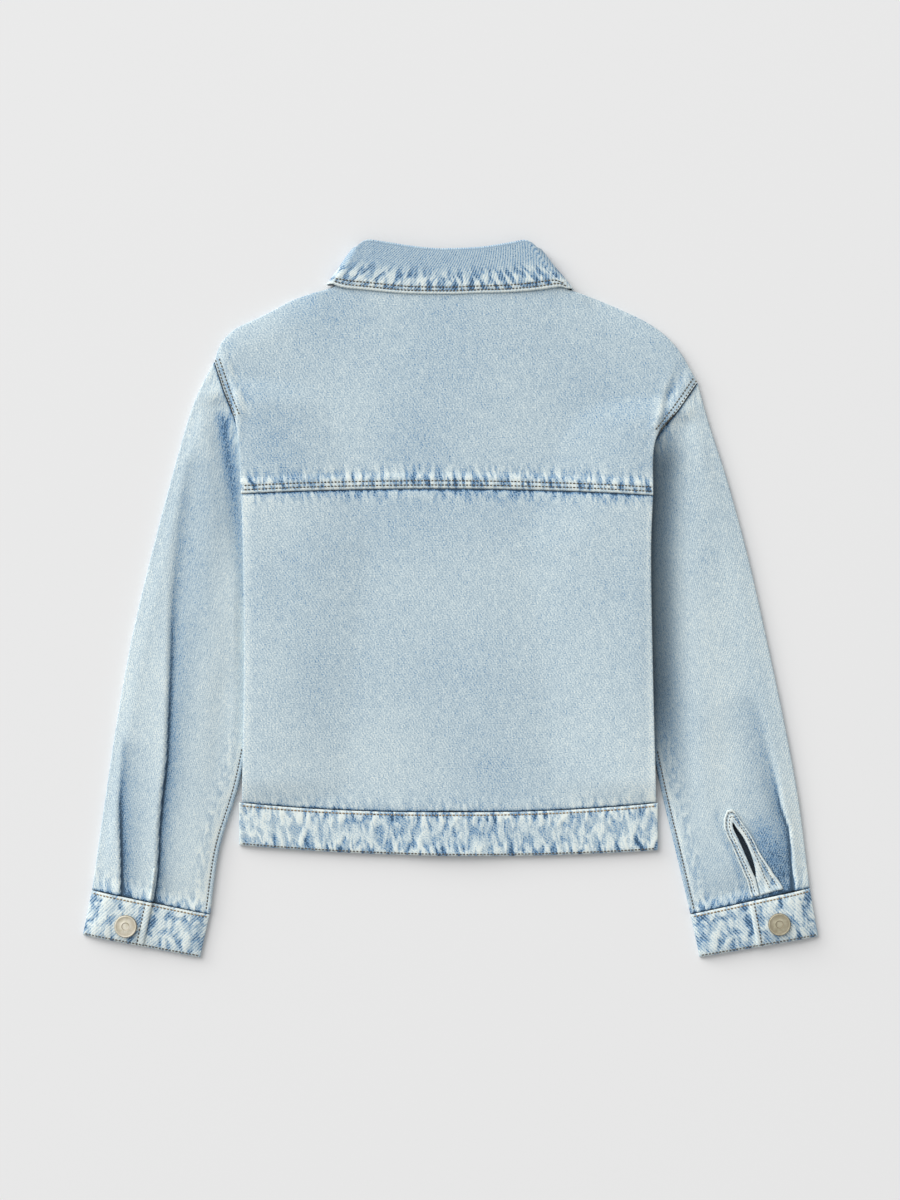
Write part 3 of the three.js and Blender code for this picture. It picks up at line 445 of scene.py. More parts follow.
def shell(name, rows, thickness, marks, closed=False, cloth=None, flip=False):
    """A thin closed wall of cloth: rows are its outer side, flipped where they'd face in."""
    cloth = rows[..., :2] if cloth is None else cloth
    if flip:
        rows, cloth = rows[::-1], cloth[::-1]
        marks = {mark: value[::-1] for mark, value in marks.items()}
    high, wide = rows.shape[:2]
    if closed:
        across = np.roll(rows, -1, 1) - np.roll(rows, 1, 1)
    else:
        across = np.gradient(rows, axis=1, edge_order=2)
    down = np.gradient(rows, axis=0, edge_order=2)
    normal = np.cross(across, down)
    normal /= np.linalg.norm(normal, axis=-1, keepdims=True)
    inner = rows - thickness * normal
    points = np.concatenate([rows.reshape(-1, 3), inner.reshape(-1, 3)]) * MM
    columns = wide if closed else wide - 1
    # the outer wall, the inner wall behind it, and the rims that join them
    i, j = np.meshgrid(np.arange(columns), np.arange(high - 1))
    near, far = j * wide + i, j * wide + (i + 1) % wide
    size = high * wide
    outer = quads(near, far, far + wide, near + wide)
    inside = outer[:, [0, 3, 2, 1]] + size
    i = np.arange(columns)
    a, b = i, (i + 1) % wide
    last = (high - 1) * wide
    rims = [quads(a, a + size, b + size, b),
            quads(a + last, b + last, b + last + size, a + last + size)]
    if not closed:
        start = np.arange(high - 1) * wide
        end = start + wide - 1
        rims += [quads(start, start + wide, start + wide + size, start + size),
                 quads(end, end + size, end + wide + size, end + wide)]
    rim = np.concatenate(rims)
    faces = np.concatenate([outer, inside, rim])

    mesh = bpy.data.meshes.new(name)
    mesh.from_pydata(points.tolist(), [], faces.tolist())
    mesh.polygons.foreach_set("use_smooth", np.ones(len(faces), bool))
    side = np.zeros(len(faces), int)
    side[len(outer):len(outer) * 2] = 1
    mesh.polygons.foreach_set("material_index", side)

    if closed:  # one more column, so that the weave doesn't fold back on itself at the join
        step = cloth[:, -1:] - cloth[:, -2:-1]
        cloth = np.concatenate([cloth, cloth[:, -1:] + step], 1)
    span = cloth.shape[1]
    i, j = np.meshgrid(np.arange(columns), np.arange(high - 1))
    near = j * span + i
    flat = cloth.reshape(-1, 2)
    laid_out = quads(near, near + 1, near + 1 + span, near + span)
    plain = flat[(rim % size) // wide * span + (rim % size) % wide]
    corner = np.concatenate([flat[laid_out], flat[laid_out[:, [0, 3, 2, 1]]], plain])
    layer = mesh.uv_layers.new(name="Cloth")
    layer.uv.foreach_set("vector", corner.reshape(-1))
    for mark, value in marks.items():
        attribute = mesh.attributes.new(mark, "FLOAT", "POINT")
        attribute.data.foreach_set("value", np.tile(value.reshape(-1), 2).astype(np.float32))
    mesh.validate()
    return put(name, mesh)


# ---- puckers: pale ridges and blue hollows along a seam ----
def streaks(seed, length, pitch, tall, s, d, slant=0.0, spread=0.25):
    """Ridges (pale) and hollows (blue) by the place s along a seam and the distance d from it."""
    rng = np.random.default_rng(seed)
    pale, blue = np.zeros(np.shape(s)), np.zeros(np.shape(s))
    place = -pitch
    while place < length + pitch:
        place += pitch * rng.uniform(0.55, 1.45)
        high = tall * rng.uniform(0.4, 1.25)
        wide = pitch * rng.uniform(0.13, 0.27)
        lean = slant + rng.normal(0, spread)
        strength = rng.uniform(0.45, 1.0)
        off = (s - place - lean * d) / (wide * (1 + 0.5 * d / high))
        pale += strength * np.exp(-off**2) * np.exp(-((d / high) ** 3))
        shift = pitch * rng.uniform(0.4, 0.6)
        off = (s - place - shift - lean * d) / (1.25 * wide)
        blue += rng.uniform(0.2, 1.0) * np.exp(-off**2) * np.exp(-((d / (0.85 * high)) ** 2))
    pale = np.clip(pale, 0, 1)
    return pale, np.clip(blue - 0.7 * pale, 0, 1)


def blotches(seed, x, y, size):
    """Smooth uneven patches between -1 and 1, about one size across."""
    rng = np.random.default_rng(seed)
    total = np.zeros(np.shape(x))
    for _ in range(7):
        angle = rng.uniform(0, 2 * np.pi)
        pace = 2 * np.pi / (size * rng.uniform(1.2, 3.2))
        total += np.sin(pace * (x * np.cos(angle) + y * np.sin(angle)) + rng.uniform(0, 6.3))
    return total / 3.5


def seam_edge(d, rows, allowance=9, stand=0.7):
    """The height of a lapped, topstitched edge by the distance in from it."""
    rounded = np.sqrt(clamp(1 - (1 - np.minimum(d / 1.3, 1)) ** 2))
    height = stand * (rounded * ease(allowance + 4, allowance - 1, d)) - 0.25 * hump(d, 0.5)
    for row in rows:
        height = height - 0.32 * hump(d - row, 0.7)
    return height


# ---- the body ----
def seam_line(seam, ends, shift=0):
    """A seam as a line from one x to another, moved up a little."""
    def at(u):
        x = mix(*ends, np.asarray(u, float))
        return np.stack([x, seam(x) + shift], -1)

    return at


def laid(plan, u, v):
    """A patch's grid: the parts across and down it, and x and y."""
    u, v = np.meshgrid(u, v)
    return (u, v, *np.moveaxis(plan(u, v), -1, 0))


shoulder_line = {side: smooth_line(SHOULDER[side]) for side in OUTWARD}


def yoke_top(u):
    """The back's top edge, from shoulder tip over the neck to shoulder tip."""
    x = mix(SHOULDER["left"][-1][0], SHOULDER["right"][-1][0], np.asarray(u, float))
    y = np.empty_like(x)
    for side in OUTWARD:
        neck = SHOULDER[side][0]
        line = shoulder_line[side]
        order = np.argsort(line[:, 0])
        on_shoulder = np.interp(x, line[order, 0], line[order, 1])
        at_neck = mix(NECK_DIP_Y, neck[1], (x / neck[0]) ** 2)
        here = np.where(np.abs(x) <= abs(neck[0]), at_neck, on_shoulder)
        y = np.where(x * OUTWARD[side] >= 0, here, y)
    return np.stack([x, y], -1)


def side_part(side, y_top, y_bottom):
    """Part of a body side line between two heights."""
    t = np.linspace(0, 1, 500)
    depth = -body_side[side](t)[:, 1]
    start, end = np.interp([-y_top, -y_bottom], depth, t)
    return lambda v: body_side[side](mix(start, end, v))


def side_folded(side, y):
    return ease(COVER_TOP[side] + 24, COVER_TOP[side] + 8, y)


def armhole_distance(side, x, y):
    """How far inboard of the armhole seam a point is."""
    _, aside, _ = beside(SLEEVE_HEAD[side][:3], x, y)
    return aside * -OUTWARD[side]


def back_yoke():
    """The yoke, shoulder to shoulder: it turns down at its shoulder edges and its folded sides."""
    left, right = (side_part(side, ABOVE_ALL, yoke_seam_y(YOKE_SIDE[side]) + SEAM_GAP)
                   for side in OUTWARD)
    bottom = seam_line(yoke_seam_y, (left(1.0)[0], right(1.0)[0]), SEAM_GAP)
    tips = SHOULDER["left"][-1][0], SHOULDER["right"][-1][0]
    neck = [(SHOULDER[side][0][0] - tips[0]) / (tips[1] - tips[0]) for side in OUTWARD]
    width, height = 340, 140
    u, v, x, y = laid(patch(yoke_top, bottom, left, right),
                      stations(width, 1.3, True, True, keep=neck),
                      stations(height, 2.4, True, fine=[(118, 141, 1.0)]))
    over_neck = np.abs(yoke_top(u)[..., 0]) < abs(SHOULDER["left"][0][0]) - 1
    folded = np.where(u < 0.5, side_folded("left", y), side_folded("right", y))
    z, half, turn = at_folds(x, y, (np.minimum(u, 1 - u) * width, folded), (v * height, ~over_neck))
    z -= half * turn
    d = y - yoke_seam_y(x) - SEAM_GAP
    pale, blue = streaks(11, 330, 6.6, 13, x + 160, d, slant=-0.2)
    fade = ease(24, 6, d)
    pale, blue = 0.9 * pale * fade, 0.85 * blue * fade
    pucker = fade * ease(0.5, 2, d)
    z += seam_edge(d, YOKE_ROWS) + (0.3 * pale - 0.3 * blue) * ease(2, 8, d)
    z += crease_height(x, y)
    for side in OUTWARD:
        near = np.maximum(armhole_distance(side, x, y), 0)
        above = ease(COVER_TOP[side] - 2, COVER_TOP[side] + 10, y)
        z += above * seam_edge(near, ARMHOLE_ROWS) * (1 - 0.6 * turn)
        pale += above * 0.7 * hump(near - 0.6, 1.1) + above * 0.3 * hump(near - 9, 2.2)
        pucker += above * 0.45 * hump(near - 11, 6)
        part, aside, beyond = beside(CREASES[side]["line"], x, y)
        inside = aside * OUTWARD[side]
        fade = hump(beyond, 6) * ease(1.1, 0.3, part)
        pale += 0.6 * fade * hump(inside - 1, 2.2)
        blue += 0.45 * fade * hump(inside + 3, 3)
    pale += 0.95 * hump(d - 0.8, 0.8)
    blue += sum(0.3 * hump(d - row, 0.8) for row in YOKE_ROWS) + 0.15 * hump(d - 4.4, 0.9)
    marks = {"pale": pale, "blue": blue + 0.12 * blotches(3, x, y, 60), "pucker": pucker}
    return shell("back_yoke_cloth", np.dstack([x, y, z]), CLOTH, marks, flip=True)


def back_panel():
    """The lower back in one piece, its two sides folded under."""
    left, right = (side_part(side, yoke_seam_y(YOKE_SIDE[side]), HEM_SIDE_Y) for side in OUTWARD)
    top = seam_line(yoke_seam_y, (left(0.0)[0], right(0.0)[0]))
    bottom = seam_line(hem_seam_y, (left(1.0)[0], right(1.0)[0]), SEAM_GAP)
    width, height = 312, 238
    u, _, x, y = laid(patch(top, bottom, left, right), stations(width, 1.4, True, True),
                      stations(height, 2.6, fine=[(0, 12, 1.0), (226, 239, 1.0)]))
    edge = np.minimum(u, 1 - u) * width
    z, half, turn = at_folds(x, y, (edge, 1))
    z -= half * turn
    under, above = yoke_seam_y(x) - y, y - hem_seam_y(x)
    top_pale, top_blue = streaks(21, 320, 8.5, 8, x + 160, under, slant=0.1)
    low_pale, low_blue = streaks(22, 320, 6.8, 9, x + 160, above)
    strength = 0.55 + 0.45 * blotches(8, x, y * 0, 60)
    pale = 0.3 * top_pale * ease(13, 3, under) + 0.55 * low_pale * ease(15, 4, above)
    blue = (0.42 * top_blue * ease(16, 3, under) + 0.36 * low_blue * ease(15, 4, above)) * strength
    z += 0.22 * pale - 0.25 * blue
    z -= 0.75 * np.exp(-under / 1.6) + 0.75 * np.exp(-above / 1.6)
    blue += 1.2 * hump(under, 1.3) + 1.1 * hump(above, 1.4) * clamp(0.7 + 0.5 * strength)
    blue += 0.3 * hump(under - 3, 4) * strength + 0.1 * hump(above - 4, 5) * strength
    pale += 0.4 * hump(edge - 2.5, 2.6) + 0.34 * ease(190, 70, above) * ease(-95, -135, x)
    pale += 0.42 * ease(105, 30, above) * ease(20, 95, x) + 0.04
    pucker = 0.6 * ease(15, 2, under) + 0.55 * ease(17, 3, above) * strength
    marks = {"pale": pale, "blue": blue + 0.16 * blotches(4, x, y, 70), "pucker": pucker}
    return shell("back_panel_cloth", np.dstack([x, y, z]), CLOTH, marks, flip=True)


def front_panel(side):
    """A front lies under the back; the left one is outermost and the right one laps inside it."""
    out = OUTWARD[side]
    neck = np.array(SHOULDER[side][0])
    lap_x = -out * FRONT_LAP
    edge = np.array(SHOULDER[side][::-1] + [(0, FRONT_NECK_Y), (lap_x, FRONT_NECK_Y)], float)
    corners = along(edge)[-3:-1] / along(edge)[-1]
    top = by_part(edge)
    sides = side_part(side, ABOVE_ALL, HEM_SIDE_Y)
    bottom = seam_line(hem_seam_y, (sides(1.0)[0], lap_x), SEAM_GAP)

    def centre(v):
        v = np.asarray(v, float)
        return np.stack([np.full_like(v, lap_x), mix(FRONT_NECK_Y, bottom(1.0)[1], v)], -1)

    width, height = 180, 330
    u, v, x, y = laid(patch(top, bottom, sides, centre),
                      stations(width, 5, True, keep=corners), stations(height, 6, True))
    shoulder = (top(u)[..., 0] - neck[0]) * out > 0.5
    _, half, turn = at_folds(x, y, (u * width, side_folded(side, y)), (v * height, shoulder))
    lap = (CLOTH + 0.6) * ease(FRONT_LAP + 45, FRONT_LAP + 18, x) * (side == "right")
    z = front_z(x, y) + half * turn + lap
    marks = {"pale": 0.2 * blotches(6, x, y, 40) + 0.1, "blue": 0 * x}
    return shell("front_" + side + "_cloth", np.dstack([x, y, z]), CLOTH, marks, flip=side == "right")


def hem_band():
    """The band goes round the body below the hem seam."""
    angles = np.radians(np.linspace(0, 180, 11))
    # once round: a front from the lap, its side, the back, the other side, the other front
    lower_left = np.arange(FRONT_LAP, -152, -4.0)
    lower_right = np.arange(150, FRONT_LAP + 1, -4.0)
    back = np.arange(HEM_SIDE["left"] + ROLL + 1.2, HEM_SIDE["right"] - ROLL - 0.6, 1.25)
    roll_left = HEM_SIDE["left"] + ROLL * (1 - np.sin(angles[::-1]))
    roll_right = HEM_SIDE["right"] - ROLL * (1 - np.sin(angles))
    x = np.concatenate([lower_left, roll_left, back, roll_right, lower_right, [FRONT_LAP + 0.4]])
    face = np.concatenate([np.full(len(lower_left), -1.0), np.cos(angles[::-1]),
                           np.ones(len(back)), np.cos(angles),
                           np.full(len(lower_right) + 1, -1.0)])
    t = stations(33, 1.0)
    x, t = np.meshgrid(x, t)
    face = np.broadcast_to(face, x.shape)
    y = mix(hem_seam_y(x) - SEAM_GAP, hem_edge_y(x), t)
    below, above = hem_seam_y(x) - SEAM_GAP - y, y - hem_edge_y(x)
    to_side = np.minimum(x - HEM_SIDE["left"], HEM_SIDE["right"] - x)
    missing = 1 - (1 - fall(to_side)) * (1 - 0.6 * fall(above, 24))
    top, _ = pressed(x, y, missing)
    z = mix(front_z(x, y), top, (face + 1) / 2)
    s = x + 170
    top_pale, top_blue = streaks(31, 330, 7.0, 15, s, below, spread=0.32)
    low_pale, low_blue = streaks(32, 330, 6.6, 15, s, above, spread=0.32)
    pale = clamp(top_pale + low_pale)
    blue = clamp(top_blue + low_blue) * (1 - 0.6 * pale)
    up = ease(0.2, 0.9, face)
    z += up * (0.32 * pale - 0.28 * blue) * ease(3, 7, below) * ease(1.5, 5, above)
    z += up * (seam_edge(below, (BAND_ROW,), allowance=60, stand=0.3)
               - 0.9 * turned(np.maximum(0, 1 - above / 1.6)) - 0.25 * hump(above - EDGE_ROW, 0.6))
    blue *= 0.9 * ease(1.8, 3.4, below)
    uneven = 0.6 + 0.4 * blotches(34, x, 0 * x, 22)
    pale = pale * 0.8 + 0.5 * uneven * hump(below - 0.8, 0.7) + 0.3 * hump(above - 0.4, 0.9)
    pucker = up * (0.65 + 0.35 * clamp(ease(12, 4, below) + ease(12, 4, above)))
    blue += 0.3 * hump(below - BAND_ROW, 0.8) + 0.2 * ease(100, 30, np.abs(x))
    pale += 0.25 * ease(-80, -150, x)
    marks = {"pale": pale * up + 0.1, "blue": blue * up, "pucker": pucker}
    length = along(np.stack([x[0], z[0]], -1))
    cloth = np.dstack([np.broadcast_to(length, x.shape), y])
    return shell("hem_band_cloth", np.dstack([x, y, z]), CLOTH, marks, cloth=cloth, flip=True)


# ---- the collar ----
def collar_strip(inset, front, rows, over_count):
    """Points of a strip round the neck: left end, over the back, right end; rows from its foot."""
    radius = COLLAR_TOP / 2 - inset
    sides = {side: outline(COLLAR_SIDE[side]) for side in OUTWARD}

    def deep(t):
        """How far a side's roll stands out past the layers: less where it meets the fold."""
        return (radius + inset) * mix(0.2, 1, ease(0, 0.35, t))

    def outward(side, t):
        return mix(COLLAR_AWAY[side], np.array([OUTWARD[side], 0.0]), ease(0.6, 1, t))

    def lay(side, t):
        return sides[side](t) - outward(side, t) * deep(t)

    over = patch(outline(COLLAR_FOLD), outline(COLLAR_EDGE), sides["left"], sides["right"])

    # along the strip: in under the neck, round a side, over the back, round the other and in again
    places = [("under", "left", part) for part in np.linspace(1, 0.06, 14)]
    places += [("round", "left", angle) for angle in np.linspace(np.pi, 0, 11)]
    places += [("over", None, part) for part in np.linspace(0, 1, over_count)[1:-1]]
    places += [("round", "right", angle) for angle in np.linspace(0, np.pi, 11)]
    places += [("under", "right", part) for part in np.linspace(0.06, 1, 14)]

    def station(kind, side, value, t):
        across = {"under": 1.5, "round": 1.5 * (1 - np.sin(value)),
                  "over": 1.5 + 131 * min(value, 1 - value)}[kind]
        short = 1 - clamp(across / COLLAR_CORNER["breadth"])
        t = mix(COLLAR_CORNER["cut"] * short**2.2, 1, t)
        if kind == "under":
            return mix(lay(side, t), front(side, t), value), inset, np.array([0, 0, -1.0])
        if kind == "round":
            away = outward(side, t)
            plan = lay(side, t) + away * (deep(t) - inset) * np.sin(value)
            return (plan, COLLAR_TOP / 2 + radius * np.cos(value),
                    np.array([*(away * np.sin(value)), np.cos(value)]))
        near = {"left": fall(value, 0.12), "right": fall(1 - value, 0.12)}
        pull = sum(outward(end, t) * near[end] for end in OUTWARD) * deep(t)
        plan = over(np.array(value), np.array(t)) - pull
        return plan, COLLAR_TOP - inset, np.array([0, 0, 1.0])

    grid = np.zeros((len(rows), len(places), 3))
    for i, place in enumerate(places):
        up = station(*place, 0.0)[0] - station(*place, 1.0)[0]
        up = up / np.linalg.norm(up)
        for j, (t, lift, depth) in enumerate(rows):
            plan, z, normal = station(*place, t)
            grid[j, i] = np.array([*(plan + up * lift), z]) - normal * depth
    return grid


def collar_front(side, t):
    fold, free = COLLAR_FRONT
    return np.array([OUTWARD[side] * mix(fold[0], free[0], t), mix(fold[1], free[1], t)])


def collar_leaf():
    """The leaf from its free edge up the outside, round its fold and a little way down inside."""
    rows = [(t, 0, 0) for t in np.concatenate([np.linspace(1, 0.7, 16), np.linspace(0.67, 0.06, 18)])]
    for turn in np.radians(np.arange(15, 181, 15)):
        rows.append((0, HAIRPIN * np.sin(turn) - HAIRPIN, HAIRPIN * (1 - np.cos(turn))))
    rows.append((0.06, -HAIRPIN, 2 * HAIRPIN))
    rows.append((COLLAR_TURN_IN, -HAIRPIN, 2 * HAIRPIN))
    grid = collar_strip(0, collar_front, rows, 160)
    s = np.broadcast_to(along(grid[0]), grid.shape[:2])
    part = np.array([row[0] for row in rows])[:, None]
    outside = np.arange(len(rows))[:, None] < 34
    d = np.broadcast_to(np.where(outside, (1 - part) * COLLAR_WIDTH, 60 + 0 * part), s.shape)
    pale, blue = streaks(41, 420, 7.4, 15, s, d, slant=0.3)
    up = clamp(grid[..., 2] / COLLAR_TOP * 2 - 1)
    stand = (0.3 * pale - 0.3 * blue) * ease(2, 8, d) * up
    stand += seam_edge(d, COLLAR_ROWS, allowance=60, stand=0.0) * up
    stand -= (0.5 * turned(np.maximum(0, 1 - d / 1.4)) + 0.7 * fall(d, 12)) * up
    grid[..., 2] += stand
    pale = pale * 0.8 * ease(24, 10, d) + 1.2 * hump(d - 1.0, 1.0)
    blue = blue * 0.85 * ease(2.5, 7, d) + sum(0.3 * hump(d - row, 0.8) for row in COLLAR_ROWS)
    blue += 0.25 * hump(d - 4.6, 0.9) + 0.22 * ease(8, 20, d)
    pucker = 0.9 * ease(27, 12, d) * ease(1.5, 3, d)
    return shell("collar_leaf_cloth", grid, CLOTH, {"pale": pale, "blue": blue, "pucker": pucker},
                 cloth=np.dstack([s, -d]))


def collar_stand():
    """The stand inside the leaf, out of sight."""
    def front(side, t):
        part = (t - STAND_TOP) / (STAND_FOOT - STAND_TOP)
        top, foot = STAND_FRONT
        return np.array([OUTWARD[side] * mix(top[0], foot[0], part), mix(top[1], foot[1], part)])

    rows = [(t, 0, 0) for t in np.linspace(STAND_FOOT, STAND_TOP, 8)]
    grid = collar_strip(STAND_DEPTH, front, rows, 40)
    s = np.broadcast_to(along(grid[0]), grid.shape[:2])
    down = -np.array([row[0] for row in rows])[:, None] * COLLAR_WIDTH + 0 * s
    return shell("collar_stand_cloth", grid, CLOTH, {"pale": 0 * s, "blue": 0 * s},
                 cloth=np.dstack([s, down]))


# ---- the sleeves ----
def sleeve_plan(side):
    outer, inner = outline(SLEEVE_OUTER[side]), outline(SLEEVE_INNER[side])
    head = outline(SLEEVE_HEAD[side])
    ends = outer(1.0), inner(1.0)

    def seam(s):
        return mix(*ends, np.asarray(s, float)[..., None])

    return patch(head, seam, outer, inner)


def outside_body(side, x, y):
    return (x - body_reach[side](y)) * OUTWARD[side]


def felled_seam(side, x, y):
    """How far a point is outboard of the stitches of the seam along a sleeve's inner edge."""
    _, aside, _ = beside(smooth_line(SLEEVE_INNER[side], 8), x, y)
    return aside * OUTWARD[side] - FELLED


def sleeve_top(side, s, v, x, y, pleat_height):
    """How high a sleeve's upper side lies, before its two edges are rounded."""
    outside = outside_body(side, x, y)
    sunk = ease(-10, 60, y) if side == "left" else ease(-150, -60, y)
    wide = {"left": (0, 14), "right": (5, 29)}[side]
    free = mix(ease(-1, 8, outside), ease(*wide, outside), sunk)
    crown = 1 - (2 * s - 1) ** 2
    trough = sunk * VALLEY[side] * ease(-3, 0, outside) * ease(24, 6, outside)
    hold = clamp(8 * s * (1 - s) + 0.3)
    rise = SLEEVE_CROWN * crown * ease(1.0, 0.9, v) + 0.6 * ease(1, 0.9, v)
    rise = rise + fold_height(SLEEVE_FOLDS[side], x, y) * hold + pleat_height * clamp(10 * s * (1 - s))
    body = TUCKED_SLEEVE - trough + free * rise
    cover = COVER_TOP[side]
    at_head = back_z(x, y) + crease_height(x, y) - 1.3
    at_seam = mix(TUCKED_SLEEVE, at_head, ease(cover + 9, cover + 24, y))
    z = mix(body, at_seam, hump(v, 0.06))
    return np.minimum(z, SLEEVE_FULL)


def sleeve(side):
    """A tube lying flat: fine columns on its upper side, then coarse ones back underneath."""
    width, length = 100, 430
    upper = stations(width, 1.25, True, True)
    lower = stations(width, 7, True, True)[1:-1][::-1]
    v = stations(length, 2.1, fine=[(0, 14, 1.2), (416, 431, 1.0)])
    s = np.concatenate([upper, lower])
    below = np.concatenate([np.zeros(len(upper), bool), np.ones(len(lower), bool)])
    s, v, x, y = laid(sleeve_plan(side), s, v)
    pleat, hollow, lean = pleat_shape(SLEEVE_PLEATS[side], x, y)
    top = sleeve_top(side, s, v, x, y, pleat)
    edge = np.minimum(s, 1 - s) * width
    top = mix(np.minimum(top, SLEEVE_EDGE), top, 1 - fall(edge, 14))
    turn = turned(bend(edge)) * (top / 2)
    x += np.where(below, 0, lean)
    z = np.where(below, turn, top - turn)

    up = np.where(below, 0.0, 1.0)
    fell = felled_seam(side, x, y)
    foot = (1 - v) * length
    across = s * width
    pale, blue = streaks(51 + OUTWARD[side], 100, 9.5, 11, across, foot, spread=0.35)
    blue = blue * 0.8 * ease(22, 4, foot)
    pucker = 0.55 * ease(26, 5, foot)
    pale = pale * 0.3 * ease(16, 4, foot)
    z += up * (0.25 * pale - 0.25 * blue) * ease(0, 4, foot)
    z += up * (1.5 * ease(13, 0, foot) * clamp(9 * s * (1 - s)) - 0.5 * np.exp(-foot / 1.6))
    pleated = clamp(pleat / 1.6)
    # blue: painted shade in the pleats' hollows, and blue lines along the cuff seam
    blue += 1.15 * hollow + 1.1 * hump(foot, 1.5) + 0.3 * hump(foot - 3, 5)
    pale += 0.3 * pleated + 0.15 * hump(edge - 3, 4) * ease(0.2, 0.6, v)
    pale += {"left": 0.1, "right": 0.25}[side] * ease(0.35, 0.05, s) + 0.06
    outside = outside_body(side, x, y)
    # painted shade, grey, in the pleats' hollows
    shade = 0.42 * clamp(hollow)
    if side == "right":
        # painted shade, blue and grey, where the body's right edge shades the sleeve beside and under it
        tucked = ease(-185, -60, y) * ease(140, 100, y)
        blue += 0.55 * tucked * ease(26, 5, outside)
        shade += 0.8 * tucked * ease(32, 6, outside)
        pale += 0.5 * hump(x - 204, 20) * hump(y + 88, 75)
    else:
        # painted shade, in blue, along the slope by the body's left edge
        part, aside, beyond = beside(LEFT_SHADED_HOLLOW, x, y)
        blue += (1 - 0.6 * part) * hump(aside, 5.5) * hump(beyond, 8)
        pale += 0.4 * ease(0.42, 0.68, s)
    seam = up * ease(0.48, 0.6, v)
    z += seam * (0.4 * ease(1.8, 0, np.abs(fell + 1.6)) - 0.35 * hump(fell, 0.8))
    pale += seam * 0.7 * hump(fell - 1.8, 1.2)
    blue += seam * (0.45 * hump(fell + 2.6, 2.0) + 0.3 * hump(fell, 0.8))
    head = np.abs(armhole_distance(side, x, y))
    hub = hump(v, 0.05) * up
    blue += 0.9 * hub * hump(head, 1.2)
    pucker += 0.45 * seam * hump(fell - 8, 6) + 0.5 * hub * hump(head - 6, 6)
    if side == "right":
        near, aside, beyond = beside(SLIT_LINE[side], x, y)
        blue += up * 0.6 * hump(aside - 15, 11) * ease(0.1, 0.45, near) * hump(beyond, 8)
        blue += up * 0.4 * hump(aside + 11, 2.5) * hump(beyond, 3)
    marks = {"pale": pale * up, "blue": blue * up + 0.12 * blotches(55, x, y, 55),
             "pucker": clamp(pucker) * up, "shade": shade * up}
    girth = along(np.stack([s[0] * width, 0 * s[0]], -1))
    cloth = np.dstack([np.broadcast_to(girth, s.shape), -v * length])
    return shell("sleeve_" + side + "_cloth", np.dstack([x, y, z]), CLOTH, marks, closed=True,
                 cloth=cloth, flip=side == "left")


def slit_half(t):
    """Half the width of the open slit."""
    part = clamp((t - SLIT["from"]) / (SLIT["to"] - SLIT["from"]))
    return SLIT["width"] / 2 * np.sin(np.pi * part) ** 0.6


def slit_lips(side, t, half):
    """The two lines at a half width either side of a slit: west and east."""
    line = outline(SLIT_LINE[side])
    way = line(clamp(t + 0.01)) - line(clamp(t - 0.01))
    way /= np.linalg.norm(way, axis=-1, keepdims=True)
    east = np.stack([-way[:, 1], way[:, 0]], -1) * np.asarray(half)[:, None]
    return line(t) - east, line(t) + east


def cut_slit(piece):
    """Cuts the open slit through the sleeve's upper layer, clear of the lower one."""
    t = np.linspace(SLIT["from"], SLIT["to"], 30)
    west, east = slit_lips("right", t, slit_half(t) + 0.15)
    ring = np.vstack([west, east[::-1]])
    ring = ring[np.insert(np.linalg.norm(np.diff(ring, axis=0), axis=1) > 0.05, 0, True)]
    count = len(ring)
    levels = 2.2, 16  # between the sleeve's two layers, and above them both
    points = [(*(p * MM), z * MM) for z in levels for p in ring]
    walls = [(i, (i + 1) % count, (i + 1) % count + count, i + count) for i in range(count)]
    mesh = bpy.data.meshes.new("slit cutter")
    mesh.from_pydata(points, [], walls + [tuple(range(count))[::-1], tuple(range(count, 2 * count))])
    cutter = put("slit cutter", mesh)
    modifier = piece.modifiers.new("slit", "BOOLEAN")
    modifier.operation, modifier.solver, modifier.object = "DIFFERENCE", "EXACT", cutter
    work_in(piece)
    bpy.data.objects.remove(cutter)


def tree_of(piece):
    """A piece's faces, ready to be met from above or below."""
    points = [vertex.co.copy() for vertex in piece.data.vertices]
    return BVHTree.FromPolygons(points, [tuple(face.vertices) for face in piece.data.polygons])


def on_surface(tree, plan, missed=7.0):
    """The height of a piece's upper side at the points of a plan."""
    hits = [tree.ray_cast(Vector((x * MM, y * MM, 0.05)), Vector((0, 0, -1)))[0]
            for x, y in plan.reshape(-1, 2)]
    return np.array([missed if hit is None else hit.z / MM for hit in hits]).reshape(plan.shape[:-1])


def slit_ring():
    """The inner and outer edges of the open slit's binding, up one lip and down the other."""
    t = np.linspace(1, SLIT["from"], 46)
    inner_west, inner_east = slit_lips("right", t, slit_half(t) + 0.4)
    t = np.linspace(1, 0, 46)
    cap = np.sqrt(ease(-0.03, 0.16, t))
    flap = 5.6 + 12 * ease(0.42, 1.0, t) ** 1.5
    outer_west, _ = slit_lips("right", t, slit_half(t) + 0.5 + 6.6 * cap)
    _, outer_east = slit_lips("right", t, slit_half(t) + 0.5 + flap * cap)
    return np.vstack([inner_west, inner_east[::-1]]), np.vstack([outer_west, outer_east[::-1]])


